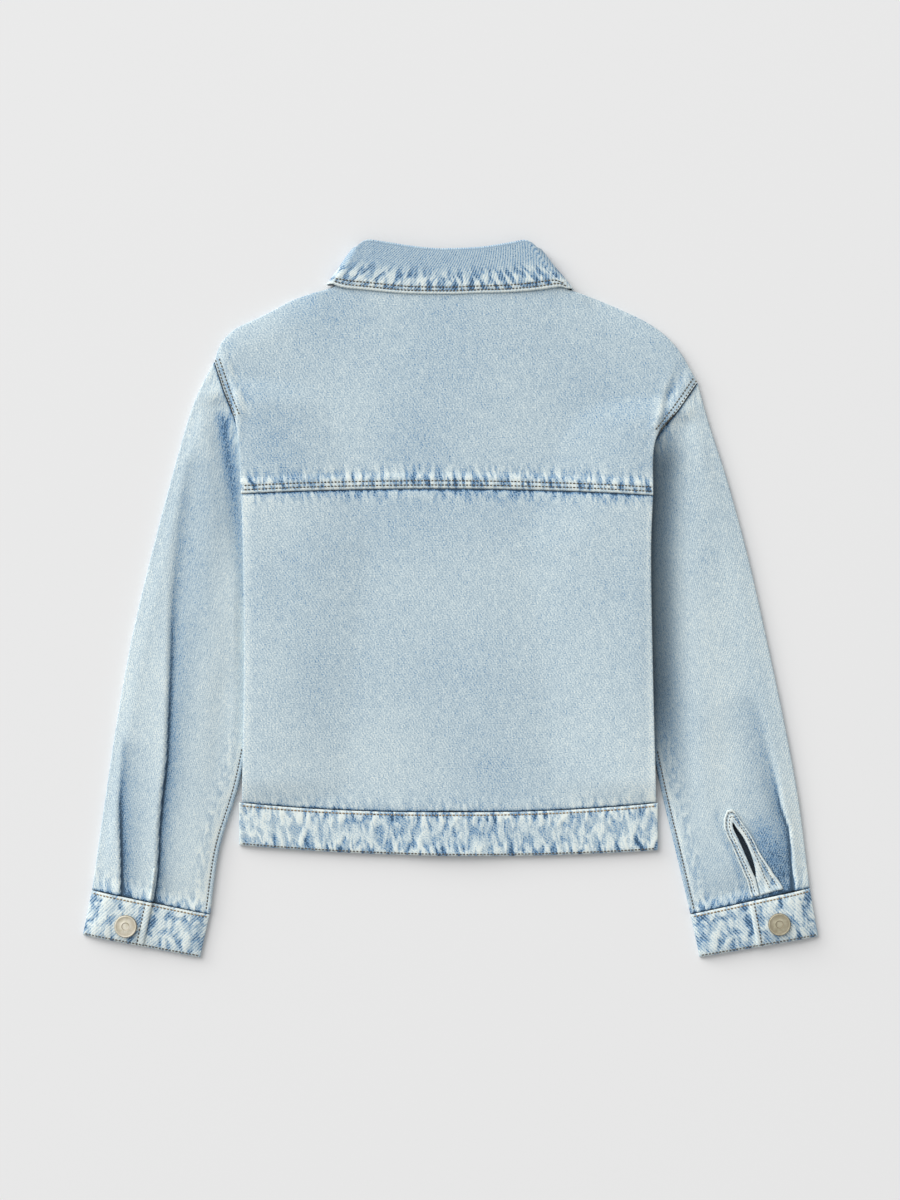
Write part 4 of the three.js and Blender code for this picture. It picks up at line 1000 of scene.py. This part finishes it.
def binding(side, tree):
    """The bound edge of a sleeve slit: a folded strip up one lip, over the top and down the other."""
    if side == "left":
        t = np.linspace(0, 1, 26)
        west, east = slit_lips(side, t, np.full(26, 1.0))
        plan = np.stack([mix(west, east, part) for part in np.linspace(0, 1, 6)])
        puff = np.sin(np.pi * np.linspace(0.08, 0.92, 6))[:, None] * 0.4
    else:
        parts = np.linspace(0, 1, 14)
        plan = np.stack([mix(*slit_ring(), part) for part in parts])
        piping = 0.7 * hump(parts - 0.9, 0.09) + 0.4 * hump(parts - 0.25, 0.25)
        puff = (piping - 0.35 * hump(parts - 0.68, 0.09) + 0.2)[:, None]
    z = on_surface(tree, plan) + 1.0 + puff
    part = np.linspace(0, 1, len(plan))[:, None] + 0 * z
    pale = 0.65 + 0.35 * hump(part - 0.92, 0.1)
    blue = 0.9 * hump(part - 0.68, 0.1) if side == "right" else 0 * part
    return shell("slit_binding_" + side + "_cloth", np.dstack([plan, z]), BINDING_CLOTH,
                 {"pale": pale, "blue": blue, "pucker": 0.45 + 0 * pale})


# ---- the cuffs ----
def on_cuff(side, s, t):
    """The plan of a cuff at a part of its width and a part of its depth."""
    top, bottom = (np.array(pair) for pair in CUFF_ENDS[side])
    s, t = (part[..., None] for part in np.broadcast_arrays(np.asarray(s, float), t))
    return mix(mix(*top, s), mix(*bottom, s), t)


def cuff(side):
    """One doubled strip: its button end laps over its other end on the upper side."""
    lap = CUFF_LAP
    angles = np.radians(np.linspace(0, 180, 11))
    width = CUFF_WIDTH

    def upper(s):
        return mix(lap["outer"], lap["top"], 1 - fall(s, 0.2))

    # along the strip: the lapped end, a fold, the under side, a fold, the end that lies beneath
    over = np.linspace(lap["edge"], 0.06, 38)
    under_lap = np.linspace(0.93, lap["under"], 52)
    s = np.concatenate([over, ROLL / width * (1 - np.sin(angles)), np.linspace(0.1, 0.9, 14),
                        1 - ROLL / width * (1 - np.sin(angles)), under_lap])
    outer_z = upper(np.zeros(11))
    z = np.concatenate([upper(over), outer_z / 2 * (1 + np.cos(angles)), np.zeros(14),
                        lap["inner"] / 2 * (1 - np.cos(angles)),
                        mix(lap["inner"], lap["below"], 1 - fall(1 - under_lap, 0.16))])
    face = np.concatenate([np.ones(38), np.cos(angles), -np.ones(14), -np.cos(angles), np.ones(52)])
    lapped = np.concatenate([np.ones(38 + 11), np.zeros(14 + 11 + 52)])
    s, t = np.meshgrid(s, stations(CUFF_DEPTH, 1.0))
    z = np.broadcast_to(z, s.shape).copy()
    face, lapped = np.broadcast_to(face, s.shape), np.broadcast_to(lapped, s.shape)
    length = np.broadcast_to(along(np.stack([s[0] * width, z[0]], -1)), s.shape)
    below, above = t * CUFF_DEPTH, (1 - t) * CUFF_DEPTH
    top_pale, top_blue = streaks(71 + OUTWARD[side], 220, 7.5, 15, length, below, spread=0.35)
    low_pale, low_blue = streaks(73 + OUTWARD[side], 220, 8.0, 16, length, above, spread=0.35)
    pale = clamp(0.9 * top_pale + 0.9 * low_pale + 0.2)
    blue = clamp(top_blue + low_blue) * (1 - 0.75 * pale)
    up = ease(0.2, 0.9, face)
    end = (lap["edge"] - s) * width
    at_end = lapped * up
    z += up * (0.3 * pale - 0.3 * blue) * ease(3, 6, below) * ease(1.5, 4, above)
    z -= up * 0.5 * (z - lap["inner"]) * fall(above, 16)
    row = CUFF_END_ROW[side]
    z += up * (seam_edge(below, (BAND_ROW,), allowance=60, stand=0.25)
               - 0.9 * turned(np.maximum(0, 1 - above / 2)) - 0.25 * hump(above - EDGE_ROW, 0.6))
    z += at_end * (-0.8 * turned(np.maximum(0, 1 - end / 1.8)) - 0.3 * hump(end - row, 0.8)
                   + 0.25 * hump(end - 0.45 * row, 0.4 * row))
    strip = at_end * ease(row + 1.0, row - 0.6, end)
    pale = pale * 0.8 * (1 - strip) + 0.8 * strip + 0.5 * hump(below - 0.9, 0.9)
    pale += 0.3 * hump(above - 0.5, 0.9)
    blue = blue * ease(1.8, 3.4, below) * (1 - strip) + 0.5 * at_end * hump(end - row - 0.6, 0.9)
    blue += 0.4 * (1 - at_end) * up * hump((s - lap["edge"]) * width - 3, 3.5)
    blue += {"left": 0.04, "right": 0.16}[side] * (1 - strip)
    marks = {"pale": pale * up + 0.1, "blue": blue * up, "pucker": up * (1 - 0.8 * strip)}
    return shell("cuff_" + side + "_cloth", np.dstack([on_cuff(side, s, t), z]), CUFF_CLOTH, marks,
                 cloth=np.dstack([length, -below]), flip=side == "right")


# ---- jeans buttons ----
def button(name, place, base, profile, segments=72):
    """A turned metal button from its profile of (radius, height), standing at a place."""
    rings = np.array(profile, float)
    angle = np.linspace(0, 2 * np.pi, segments, endpoint=False)
    points = [(place[0], place[1], base + rings[0][1])]
    for radius, height in rings[1:-1]:
        points += [(place[0] + radius * np.cos(a), place[1] + radius * np.sin(a), base + height)
                   for a in angle]
    points.append((place[0], place[1], base + rings[-1][1]))
    faces = []
    last = len(points) - 1
    for i in range(segments):
        faces.append((0, 1 + (i + 1) % segments, 1 + i))
        for ring in range(len(rings) - 3):
            a, b = 1 + ring * segments + i, 1 + ring * segments + (i + 1) % segments
            faces.append((a, b, b + segments, a + segments))
        a = 1 + (len(rings) - 3) * segments
        faces.append((a + i, a + (i + 1) % segments, last))
    mesh = bpy.data.meshes.new(name)
    mesh.from_pydata([tuple(c * MM for c in point) for point in points], [], faces)
    mesh.polygons.foreach_set("use_smooth", np.ones(len(faces), bool))
    out = np.hypot(*(np.array(points)[:, :2] - np.array(place)).T)
    rim = mesh.attributes.new("rim", "FLOAT", "POINT")
    rim.data.foreach_set("value", ease(7.9, 8.5, out) + 0.8 * hump(out - 2.75, 0.25)
                         + 0.4 * hump(out - 7.0, 0.3))
    return put(name, mesh)


CUFF_BUTTON = [(0, 0), (7.2, 0), (8.2, 0.4), (8.5, 0.9), (8.5, 1.4), (8.35, 1.85), (8.0, 2.1),
               (7.6, 2.15), (7.2, 2.0), (6.9, 1.95), (3.6, 2.05), (3.2, 2.15), (2.9, 2.12),
               (2.7, 2.0), (2.3, 1.98), (1.2, 2.0), (0, 2.0)]


# ---- finishes ----
def linear(code):
    """An sRGB hex colour as linear red, green, blue and alpha."""
    parts = [int(code[i:i + 2], 16) / 255 for i in (1, 3, 5)]
    return [*(c / 12.92 if c <= 0.04045 else ((c + 0.055) / 1.055) ** 2.4 for c in parts), 1.0]


def add(tree, kind, settings=None, inputs=None):
    """Adds a node with its own settings, and its inputs as links or as plain values."""
    node = tree.nodes.new(kind)
    for option, value in (settings or {}).items():
        if option == "stops":
            ramp = node.color_ramp
            while len(ramp.elements) < len(value):
                ramp.elements.new(0.5)
            for element, (place, code) in zip(ramp.elements, value):
                element.position, element.color = place, linear(code)
        else:
            setattr(node, option, value)
    for socket, value in (inputs or {}).items():
        if isinstance(value, bpy.types.NodeSocket):
            tree.links.new(value, node.inputs[socket])
        else:
            node.inputs[socket].default_value = value
    return node


def new_material(name):
    material = bpy.data.materials.new(name)
    material.use_nodes = True
    material.node_tree.nodes.clear()
    return material, material.node_tree


def finish_with(tree, settings):
    surface = add(tree, "ShaderNodeBsdfPrincipled", inputs=settings)
    add(tree, "ShaderNodeOutputMaterial", inputs={"Surface": surface.outputs["BSDF"]})


WASHED = [(0.0, "#3d5a76"), (0.1, "#5f8ab4"), (0.24, "#87a8c4"), (0.4, "#a4b9c6"), (0.55, "#b5c7d1"),
          (0.7, "#c3d4db"), (0.85, "#d2e0e4"), (1.0, "#e6eeea")]
# the wrong side's colours are dark, well below the real pale grey-blue: painted shade for the inside of
# the open slit
SHADED_REVERSE = [(0.0, "#1c2630"), (0.5, "#303c47"), (1.0, "#55626d")]


def denim(name, stops, level, gains, twill_angle, wear, pucker_size):
    """Cotton twill, indigo warp over white weft, stone-washed until most of the blue has gone."""
    material, tree = new_material(name)
    cloth = add(tree, "ShaderNodeUVMap", {"uv_map": "Cloth"}).outputs["UV"]

    def texture(kind, size, settings, turn=0.0):
        """A texture whose unit measures size across and along, in millimetres of cloth."""
        place = add(tree, "ShaderNodeMapping", {"vector_type": "TEXTURE"}, {
            "Vector": cloth, "Scale": (*size, 1), "Rotation": (0, 0, np.radians(turn))}).outputs[0]
        return add(tree, kind, inputs={"Vector": place, **settings}).outputs["Fac"]

    # the twill's diagonals, 0.8 mm apart on the cloth and drawn at 2 mm so that they show
    twill = texture("ShaderNodeTexWave", (2.0, 2.0), {
        "Scale": 0.314, "Distortion": 1.3, "Detail": 2.0, "Detail Scale": 2.0}, twill_angle)
    # thick and thin places in the warp yarns, drawn about three yarns wide so that they show
    slub = texture("ShaderNodeTexNoise", (1.1, 5.5), {"Scale": 1.0, "Detail": 2.0, "Roughness": 0.6})
    # single yarns on top of the twill, some white and some blue, drawn twice their size
    grain = texture("ShaderNodeTexNoise", (0.95, 0.95), {"Scale": 1.0, "Detail": 0.0})
    # where the stones rubbed more, in upright patches, and where the bath took more colour out
    rubbed = texture("ShaderNodeTexNoise", (6, 13), {"Scale": 1.0, "Detail": 3.0, "Roughness": 0.6})
    bath = texture("ShaderNodeTexNoise", (40, 40), {"Scale": 1.0, "Detail": 2.0})
    # puckers drawn up by the stitches: rubbed pale on their ridges, still blue between them
    ridges = texture("ShaderNodeTexNoise", pucker_size, {
        "Scale": 1.0, "Detail": 1.0, "Roughness": 0.4, "Distortion": 0.5}, 8)
    sharp = add(tree, "ShaderNodeMapRange", {"interpolation_type": "SMOOTHSTEP"}, {
        "Value": ridges, "From Min": 0.38, "From Max": 0.62, "To Min": -0.5,
        "To Max": 0.5}).outputs[0]
    marks = [add(tree, "ShaderNodeAttribute", {"attribute_name": mark}).outputs["Fac"]
             for mark in ("pale", "blue", "pucker")]
    drawn = add(tree, "ShaderNodeMath", {"operation": "MULTIPLY"}, {0: sharp, 1: marks[2]}).outputs[0]
    sources = (twill, slub, grain, rubbed, bath, *marks[:2], drawn)
    tone = level - sum(gains) / 2
    for source, gain in zip(sources, (*gains, *wear)):
        tone = add(tree, "ShaderNodeMath", {"operation": "MULTIPLY_ADD"},
                   {0: source, 1: gain, 2: tone}).outputs[0]
    colour = add(tree, "ShaderNodeValToRGB", {"stops": stops}, {"Fac": tone}).outputs["Color"]
    # painted shade: the shade mark greys the colour in the pleats' hollows and where the body's right
    # edge shades the sleeve
    tucked = add(tree, "ShaderNodeAttribute", {"attribute_name": "shade"}).outputs["Fac"]
    colour = add(tree, "ShaderNodeMix", {"data_type": "RGBA"}, {
        "Factor": tucked, 6: colour, 7: linear("#4c5a62")}).outputs[2]
    relief = slub
    for source, gain in ((twill, 0.6), (drawn, 1.3)):
        relief = add(tree, "ShaderNodeMath", {"operation": "MULTIPLY_ADD"},
                     {0: source, 1: gain, 2: relief}).outputs[0]
    bump = add(tree, "ShaderNodeBump", inputs={
        "Height": relief, "Strength": 0.5, "Distance": 0.00025}).outputs["Normal"]
    finish_with(tree, {"Base Color": colour, "Roughness": 0.9, "Specular IOR Level": 0.2,
                       "Sheen Weight": 0.08, "Sheen Roughness": 0.6, "Normal": bump})
    return material


# for each denim: how pale it is in all; how much its twill, slubs, yarns, rubbing and bath count; the
# angle of its twill; how much the pale, blue and pucker marks count; how wide and long its puckers are
FINE = (0.15, 0.75, 1.0, 0.32, 0.12)
washed = denim("washed 12 oz denim", WASHED, 0.56, FINE, 35, (0.42, -0.55, 0.7), (3.6, 13))
crosscut = denim("washed denim cut crosswise", WASHED, 0.55, FINE, 55, (0.42, -0.55, 0.75), (4.4, 11))
worn = denim("denim worn at doubled edges", WASHED, 0.55, (0.42, 0.5, 0.85, 0.25, 0.12), 35,
             (0.45, -0.6, 0.85), (4.6, 11))
cuff_worn = denim("denim worn at the cuffs", WASHED, 0.5, (0.42, 0.5, 0.85, 0.3, 0.12), 35,
                  (0.45, -0.55, 0.62), (6.0, 9))
# dark as painted shade; the wrong side shows mainly inside the open slit
shaded_wrong_side = denim("wrong side of the denim darkened as painted shade", SHADED_REVERSE, 0.6, (0.14, 0.3, 0.4, 0.1, 0.1), 30,
                   (0.2, -0.2, 0.1), (4, 11))


def mottled(tree, size, detail, stops):
    """A colour that wanders between its stops over a piece, in patches of a size in millimetres."""
    place = add(tree, "ShaderNodeTexCoord").outputs["Object"]
    patches = add(tree, "ShaderNodeTexNoise", inputs={
        "Vector": place, "Scale": 1 / (size * MM), "Detail": detail}).outputs["Fac"]
    return add(tree, "ShaderNodeValToRGB", {"stops": stops}, {"Fac": patches}).outputs["Color"]


def thread(name, dark, light):
    """Spun polyester-cotton sewing thread: matt, its shade uneven from stitch to stitch."""
    material, tree = new_material(name)
    colour = mottled(tree, 2.4, 2.0, [(0.3, dark), (0.7, light)])
    finish_with(tree, {"Base Color": colour, "Roughness": 0.75, "Specular IOR Level": 0.3})
    return material


grey_thread = thread("grey-brown thread", "#45443f", "#7d786a")
tan_thread = thread("tan thread", "#655645", "#b39a74")
dark_thread = thread("dark grey thread", "#4a4845", "#716d66")


def button_metal(name, dark, light, grime):
    """Pressed brass with a thin nickel wash, tumbled with the jacket: dull, and brown at the rim."""
    material, tree = new_material(name)
    plated = mottled(tree, 3.0, 4.0, [(0.35, dark), (0.65, light)])
    # grime and bare brass in the hollows and round the rim
    rim = add(tree, "ShaderNodeAttribute", {"attribute_name": "rim"}).outputs["Fac"]
    colour = add(tree, "ShaderNodeMix", {"data_type": "RGBA"}, {
        "Factor": rim, 6: plated, 7: linear(grime)}).outputs[2]
    place = add(tree, "ShaderNodeTexCoord").outputs["Object"]
    scratches = add(tree, "ShaderNodeTexNoise", inputs={
        "Vector": place, "Scale": 1 / (0.5 * MM), "Detail": 3.0}).outputs["Fac"]
    bump = add(tree, "ShaderNodeBump", inputs={
        "Height": scratches, "Strength": 0.3, "Distance": 0.00004}).outputs["Normal"]
    finish_with(tree, {"Base Color": colour, "Metallic": 0.6, "Roughness": 0.6, "Normal": bump})
    return material


pale_metal = button_metal("nickel-washed brass", "#dbd5bf", "#eee9da", "#8a7458")
dull_metal = button_metal("tarnished nickel-washed brass", "#b3ac93", "#cdc7af", "#76604c")


# ---- rows of stitches ----
def sewn_rows():
    """Lays one short flattened length of thread over each stitch length of the rows."""
    tree = bpy.data.node_groups.new("sewn rows", "GeometryNodeTree")
    face = tree.interface
    face.new_socket("Rows", in_out="INPUT", socket_type="NodeSocketGeometry")
    for name, value in (("Stitch length", STITCH * MM), ("Thread width", 0.62 * MM)):
        face.new_socket(name, in_out="INPUT", socket_type="NodeSocketFloat").default_value = value
    face.new_socket("Thread", in_out="INPUT", socket_type="NodeSocketMaterial")
    face.new_socket("Stitches", in_out="OUTPUT", socket_type="NodeSocketGeometry")
    given = add(tree, "NodeGroupInput").outputs
    curve = add(tree, "GeometryNodeMeshToCurve", inputs={"Mesh": given["Rows"]}).outputs[0]
    points = add(tree, "GeometryNodeResampleCurve", {"mode": "LENGTH"}, {
        "Curve": curve, "Length": given["Stitch length"]}).outputs[0]
    tangent = add(tree, "GeometryNodeInputTangent").outputs[0]
    lengthwise = add(tree, "FunctionNodeAlignRotationToVector", {"axis": "X"},
                     {"Vector": tangent}).outputs[0]
    upright = add(tree, "FunctionNodeAlignRotationToVector", {"axis": "Z", "pivot_axis": "X"},
                  {"Rotation": lengthwise, "Vector": (0, 0, 1)}).outputs[0]
    bead = add(tree, "GeometryNodeMeshUVSphere", inputs={
        "Segments": 6, "Rings": 4, "Radius": 0.5}).outputs["Mesh"]
    uneven = add(tree, "FunctionNodeRandomValue", {"data_type": "FLOAT"}, {
        "Min": 0.7, "Max": 0.92, "Seed": 7})
    shown = add(tree, "ShaderNodeMath", {"operation": "MULTIPLY"}, {
        0: given["Stitch length"], 1: uneven.outputs["Value"]}).outputs[0]
    flat = add(tree, "ShaderNodeMath", {"operation": "MULTIPLY"}, {
        0: given["Thread width"], 1: 0.7}).outputs[0]
    size = add(tree, "ShaderNodeCombineXYZ", inputs={
        "X": shown, "Y": given["Thread width"], "Z": flat}).outputs[0]
    beads = add(tree, "GeometryNodeInstanceOnPoints", inputs={
        "Points": points, "Instance": bead, "Rotation": upright, "Scale": size}).outputs[0]
    solid = add(tree, "GeometryNodeRealizeInstances", inputs={"Geometry": beads}).outputs[0]
    smooth = add(tree, "GeometryNodeSetShadeSmooth", inputs={"Geometry": solid}).outputs[0]
    done = add(tree, "GeometryNodeSetMaterial", inputs={
        "Geometry": smooth, "Material": given["Thread"]}).outputs[0]
    add(tree, "NodeGroupOutput", inputs={"Stitches": done})
    return tree


SEWN_ROWS = sewn_rows()
sockets = {item.name: item.identifier for item in SEWN_ROWS.interface.items_tree
           if item.in_out == "INPUT"}


def sew(name, cloth_piece, lines, with_thread, width=1.2):
    """Sews lines of stitches, their points in millimetres, into a piece of cloth.

    Real thread is 0.5 mm wide; it is drawn wider so that it shows.
    """
    points, edges = [], []
    for line in lines:
        start = len(points)
        points += [tuple(point * MM) for point in line]
        edges += [(k, k + 1) for k in range(start, len(points) - 1)]
    mesh = bpy.data.meshes.new("stitches_" + name)
    mesh.from_pydata(points, edges, [])
    piece = put("stitches_" + name, mesh)
    modifier = piece.modifiers.new("sewn rows", "NODES")
    modifier.node_group = SEWN_ROWS
    modifier[sockets["Stitch length"]] = STITCH * MM
    modifier[sockets["Thread width"]] = width * MM
    modifier[sockets["Thread"]] = with_thread
    work_in(piece)
    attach(piece, "root")
    stitches.setdefault(cloth_piece, []).append(piece)


def dropped(tree, plan, below=False, proud=0.12):
    """Lays a line seen in plan on a piece, from above or from below."""
    start, way = (-0.02, 1) if below else (0.05, -1)
    points = []
    for x, y in plan:
        hit = tree.ray_cast(Vector((x * MM, y * MM, start)), Vector((0, 0, way)))[0]
        if hit is not None:
            points.append((x, y, hit.z / MM + (0.4 if below else proud)))
    return np.array(points)


def through(tree, plan):
    """A row of stitches that shows on the upper side and underneath."""
    return [dropped(tree, plan), dropped(tree, plan, below=True)]


def beside_line(line, away):
    """A line moved sideways, + to its left as it runs."""
    points = np.array(line, float)
    way = np.gradient(points, axis=0)
    way /= np.linalg.norm(way, axis=1, keepdims=True)
    return points + np.stack([-way[:, 1], way[:, 0]], -1) * away


# ---- the pieces ----
pieces = {}
pieces["back_yoke"] = back_yoke()
pieces["back_panel"] = back_panel()
for side in OUTWARD:
    pieces["front_" + side] = front_panel(side)
pieces["hem_band"] = hem_band()
pieces["collar_leaf"] = collar_leaf()
pieces["collar_stand"] = collar_stand()
for side in OUTWARD:
    pieces["sleeve_" + side] = sleeve(side)
    pieces["cuff_" + side] = cuff(side)
trees = {name: tree_of(piece) for name, piece in pieces.items()}
for side in OUTWARD:
    pieces["slit_binding_" + side] = binding(side, trees["sleeve_" + side])
    trees["slit_binding_" + side] = tree_of(pieces["slit_binding_" + side])
    place = CUFF_BUTTON_PLACE[side]
    pieces["cuff_button_" + side] = button("cuff_button_" + side + "_turned", place, CUFF_BUTTON_SEAT,
                                           CUFF_BUTTON)

cloths = {"hem_band": crosscut, "collar_leaf": worn, "cuff_left": cuff_worn, "cuff_right": cuff_worn,
          "slit_binding_left": worn, "slit_binding_right": worn}
for name, piece in pieces.items():
    if name.startswith("cuff_button"):
        piece.data.materials.append(pale_metal if name.endswith("left") else dull_metal)
    else:
        piece.data.materials.append(cloths.get(name, washed))
        piece.data.materials.append(shaded_wrong_side)
cut_slit(pieces["sleeve_right"])
for name, piece in pieces.items():
    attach(piece, "root")
    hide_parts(name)
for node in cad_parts:
    if node.startswith("front_button"):
        made = bpy.data.objects[node]
        for slot in made.material_slots:
            slot.material = pale_metal

# ---- sewing ----
stitches = {}
across_back = np.arange(-155, 151.5, 2.0)
yoke_lines = [dropped(trees["back_yoke"],
                      np.stack([across_back, yoke_seam_y(across_back) + SEAM_GAP + row], -1))
              for row in YOKE_ROWS]
for side in OUTWARD:
    head = smooth_line(SLEEVE_HEAD[side][:3], 20)
    head = head[head[:, 1] > COVER_TOP[side] + 3]
    yoke_lines += [dropped(trees["back_yoke"], beside_line(head, -OUTWARD[side] * row))
                   for row in ARMHOLE_ROWS]
across_hem = np.arange(-156.5, 153.6, 2.0)
hem_top = np.stack([across_hem, hem_seam_y(across_hem) - SEAM_GAP - BAND_ROW], -1)
hem_low = np.stack([across_hem, hem_edge_y(across_hem) + EDGE_ROW], -1)
sew("back_yoke", "back_yoke", yoke_lines, grey_thread)
sew("hem_band_top", "hem_band", through(trees["hem_band"], hem_top), tan_thread)
sew("hem_band_edge", "hem_band", through(trees["hem_band"], hem_low), dark_thread)
leaf_lines = []
for row in COLLAR_ROWS:
    line = collar_strip(0, collar_front, [(1 - row / COLLAR_WIDTH, 0, 0)], 120)[0]
    top = line[(line[:, 2] > COLLAR_TOP - 0.1) & (np.abs(line[:, 0]) < 87), :2]
    leaf_lines.append(dropped(trees["collar_leaf"], top))
sew("collar_leaf", "collar_leaf", leaf_lines, grey_thread)
for side in OUTWARD:
    cuff_tree = trees["cuff_" + side]
    s = np.linspace(0.03, 0.97, 60)
    upper = on_cuff(side, s, BAND_ROW / CUFF_DEPTH)
    lower = on_cuff(side, s, 1 - EDGE_ROW / CUFF_DEPTH)
    end = on_cuff(side, CUFF_LAP["edge"] - CUFF_END_ROW[side] / CUFF_WIDTH, np.linspace(0.06, 0.96, 24))
    over, under = through(cuff_tree, lower)
    sew("cuff_top_" + side, "cuff_" + side, through(cuff_tree, upper), tan_thread)
    sew("cuff_edge_" + side, "cuff_" + side, [over, dropped(cuff_tree, end), under], dark_thread)
    inner = outline(SLEEVE_INNER[side])(np.linspace(0.56, 0.985, 90))
    fell = dropped(trees["sleeve_" + side], beside_line(inner, OUTWARD[side] * FELLED))
    sew("sleeve_" + side, "sleeve_" + side, [fell], dark_thread)
slit_lines = [dropped(trees["slit_binding_right"], mix(*slit_ring(), part)[3:-3], proud=0)
              for part in (0.45, 0.78)]
sew("slit_binding_right", "slit_binding_right", slit_lines, dark_thread, width=0.8)

# ---- floor, light and camera: white board, pale room, a large softbox and a low lamp ----
LAMPS = {  # both at the upper left; spread makes up for what a wide lamp loses on a level board
    "softbox": {"share": 0.5, "spread": 1.21, "size": 28.0, "height": 35, "from": (-0.66, 0.75)},
    "low lamp": {"share": 0.05, "spread": 1.06, "size": 9.0, "height": 13, "from": (-0.87, 0.5)},
}
LAMP_AWAY = 30.0
floor_mesh = bpy.data.meshes.new("floor")
floor_mesh.from_pydata([(x, y, -0.0001) for x, y in ((-4, -4), (4, -4), (4, 4), (-4, 4))], [],
                       [(0, 1, 2, 3)])
material, tree = new_material("matt white board")
finish_with(tree, {"Base Color": linear("#ebebeb"), "Roughness": 1.0, "Specular IOR Level": 0.1})
floor_mesh.materials.append(material)
put("floor", floor_mesh)

world = bpy.data.worlds.new("soft room")
world.use_nodes = True
world.node_tree.nodes["Background"].inputs["Color"].default_value = (1, 1, 1, 1)
world.node_tree.nodes["Background"].inputs["Strength"].default_value = 1 - sum(
    lamp["share"] for lamp in LAMPS.values())
bpy.context.scene.world = world

for name, lamp in LAMPS.items():
    height = np.radians(lamp["height"])
    toward = Vector((*(np.array(lamp["from"]) * np.cos(height)), np.sin(height)))
    light = put(name, bpy.data.lights.new(name, "AREA"))
    light.data.shape, light.data.size = "SQUARE", lamp["size"]
    light.data.energy = lamp["spread"] * lamp["share"] * np.pi**2 * LAMP_AWAY**2 / np.sin(height)
    light.location = toward * LAMP_AWAY
    light.rotation_euler = toward.to_track_quat("Z", "Y").to_euler()

camera = put("camera", bpy.data.cameras.new("camera"))
camera.data.lens, camera.data.sensor_width, camera.data.clip_end = 85, 36, 20
camera.location = (-0.00038, 0, 2.1525)  # over the middle, looking straight down
bpy.context.scene.camera = camera
bpy.context.scene.view_settings.view_transform = "Standard"
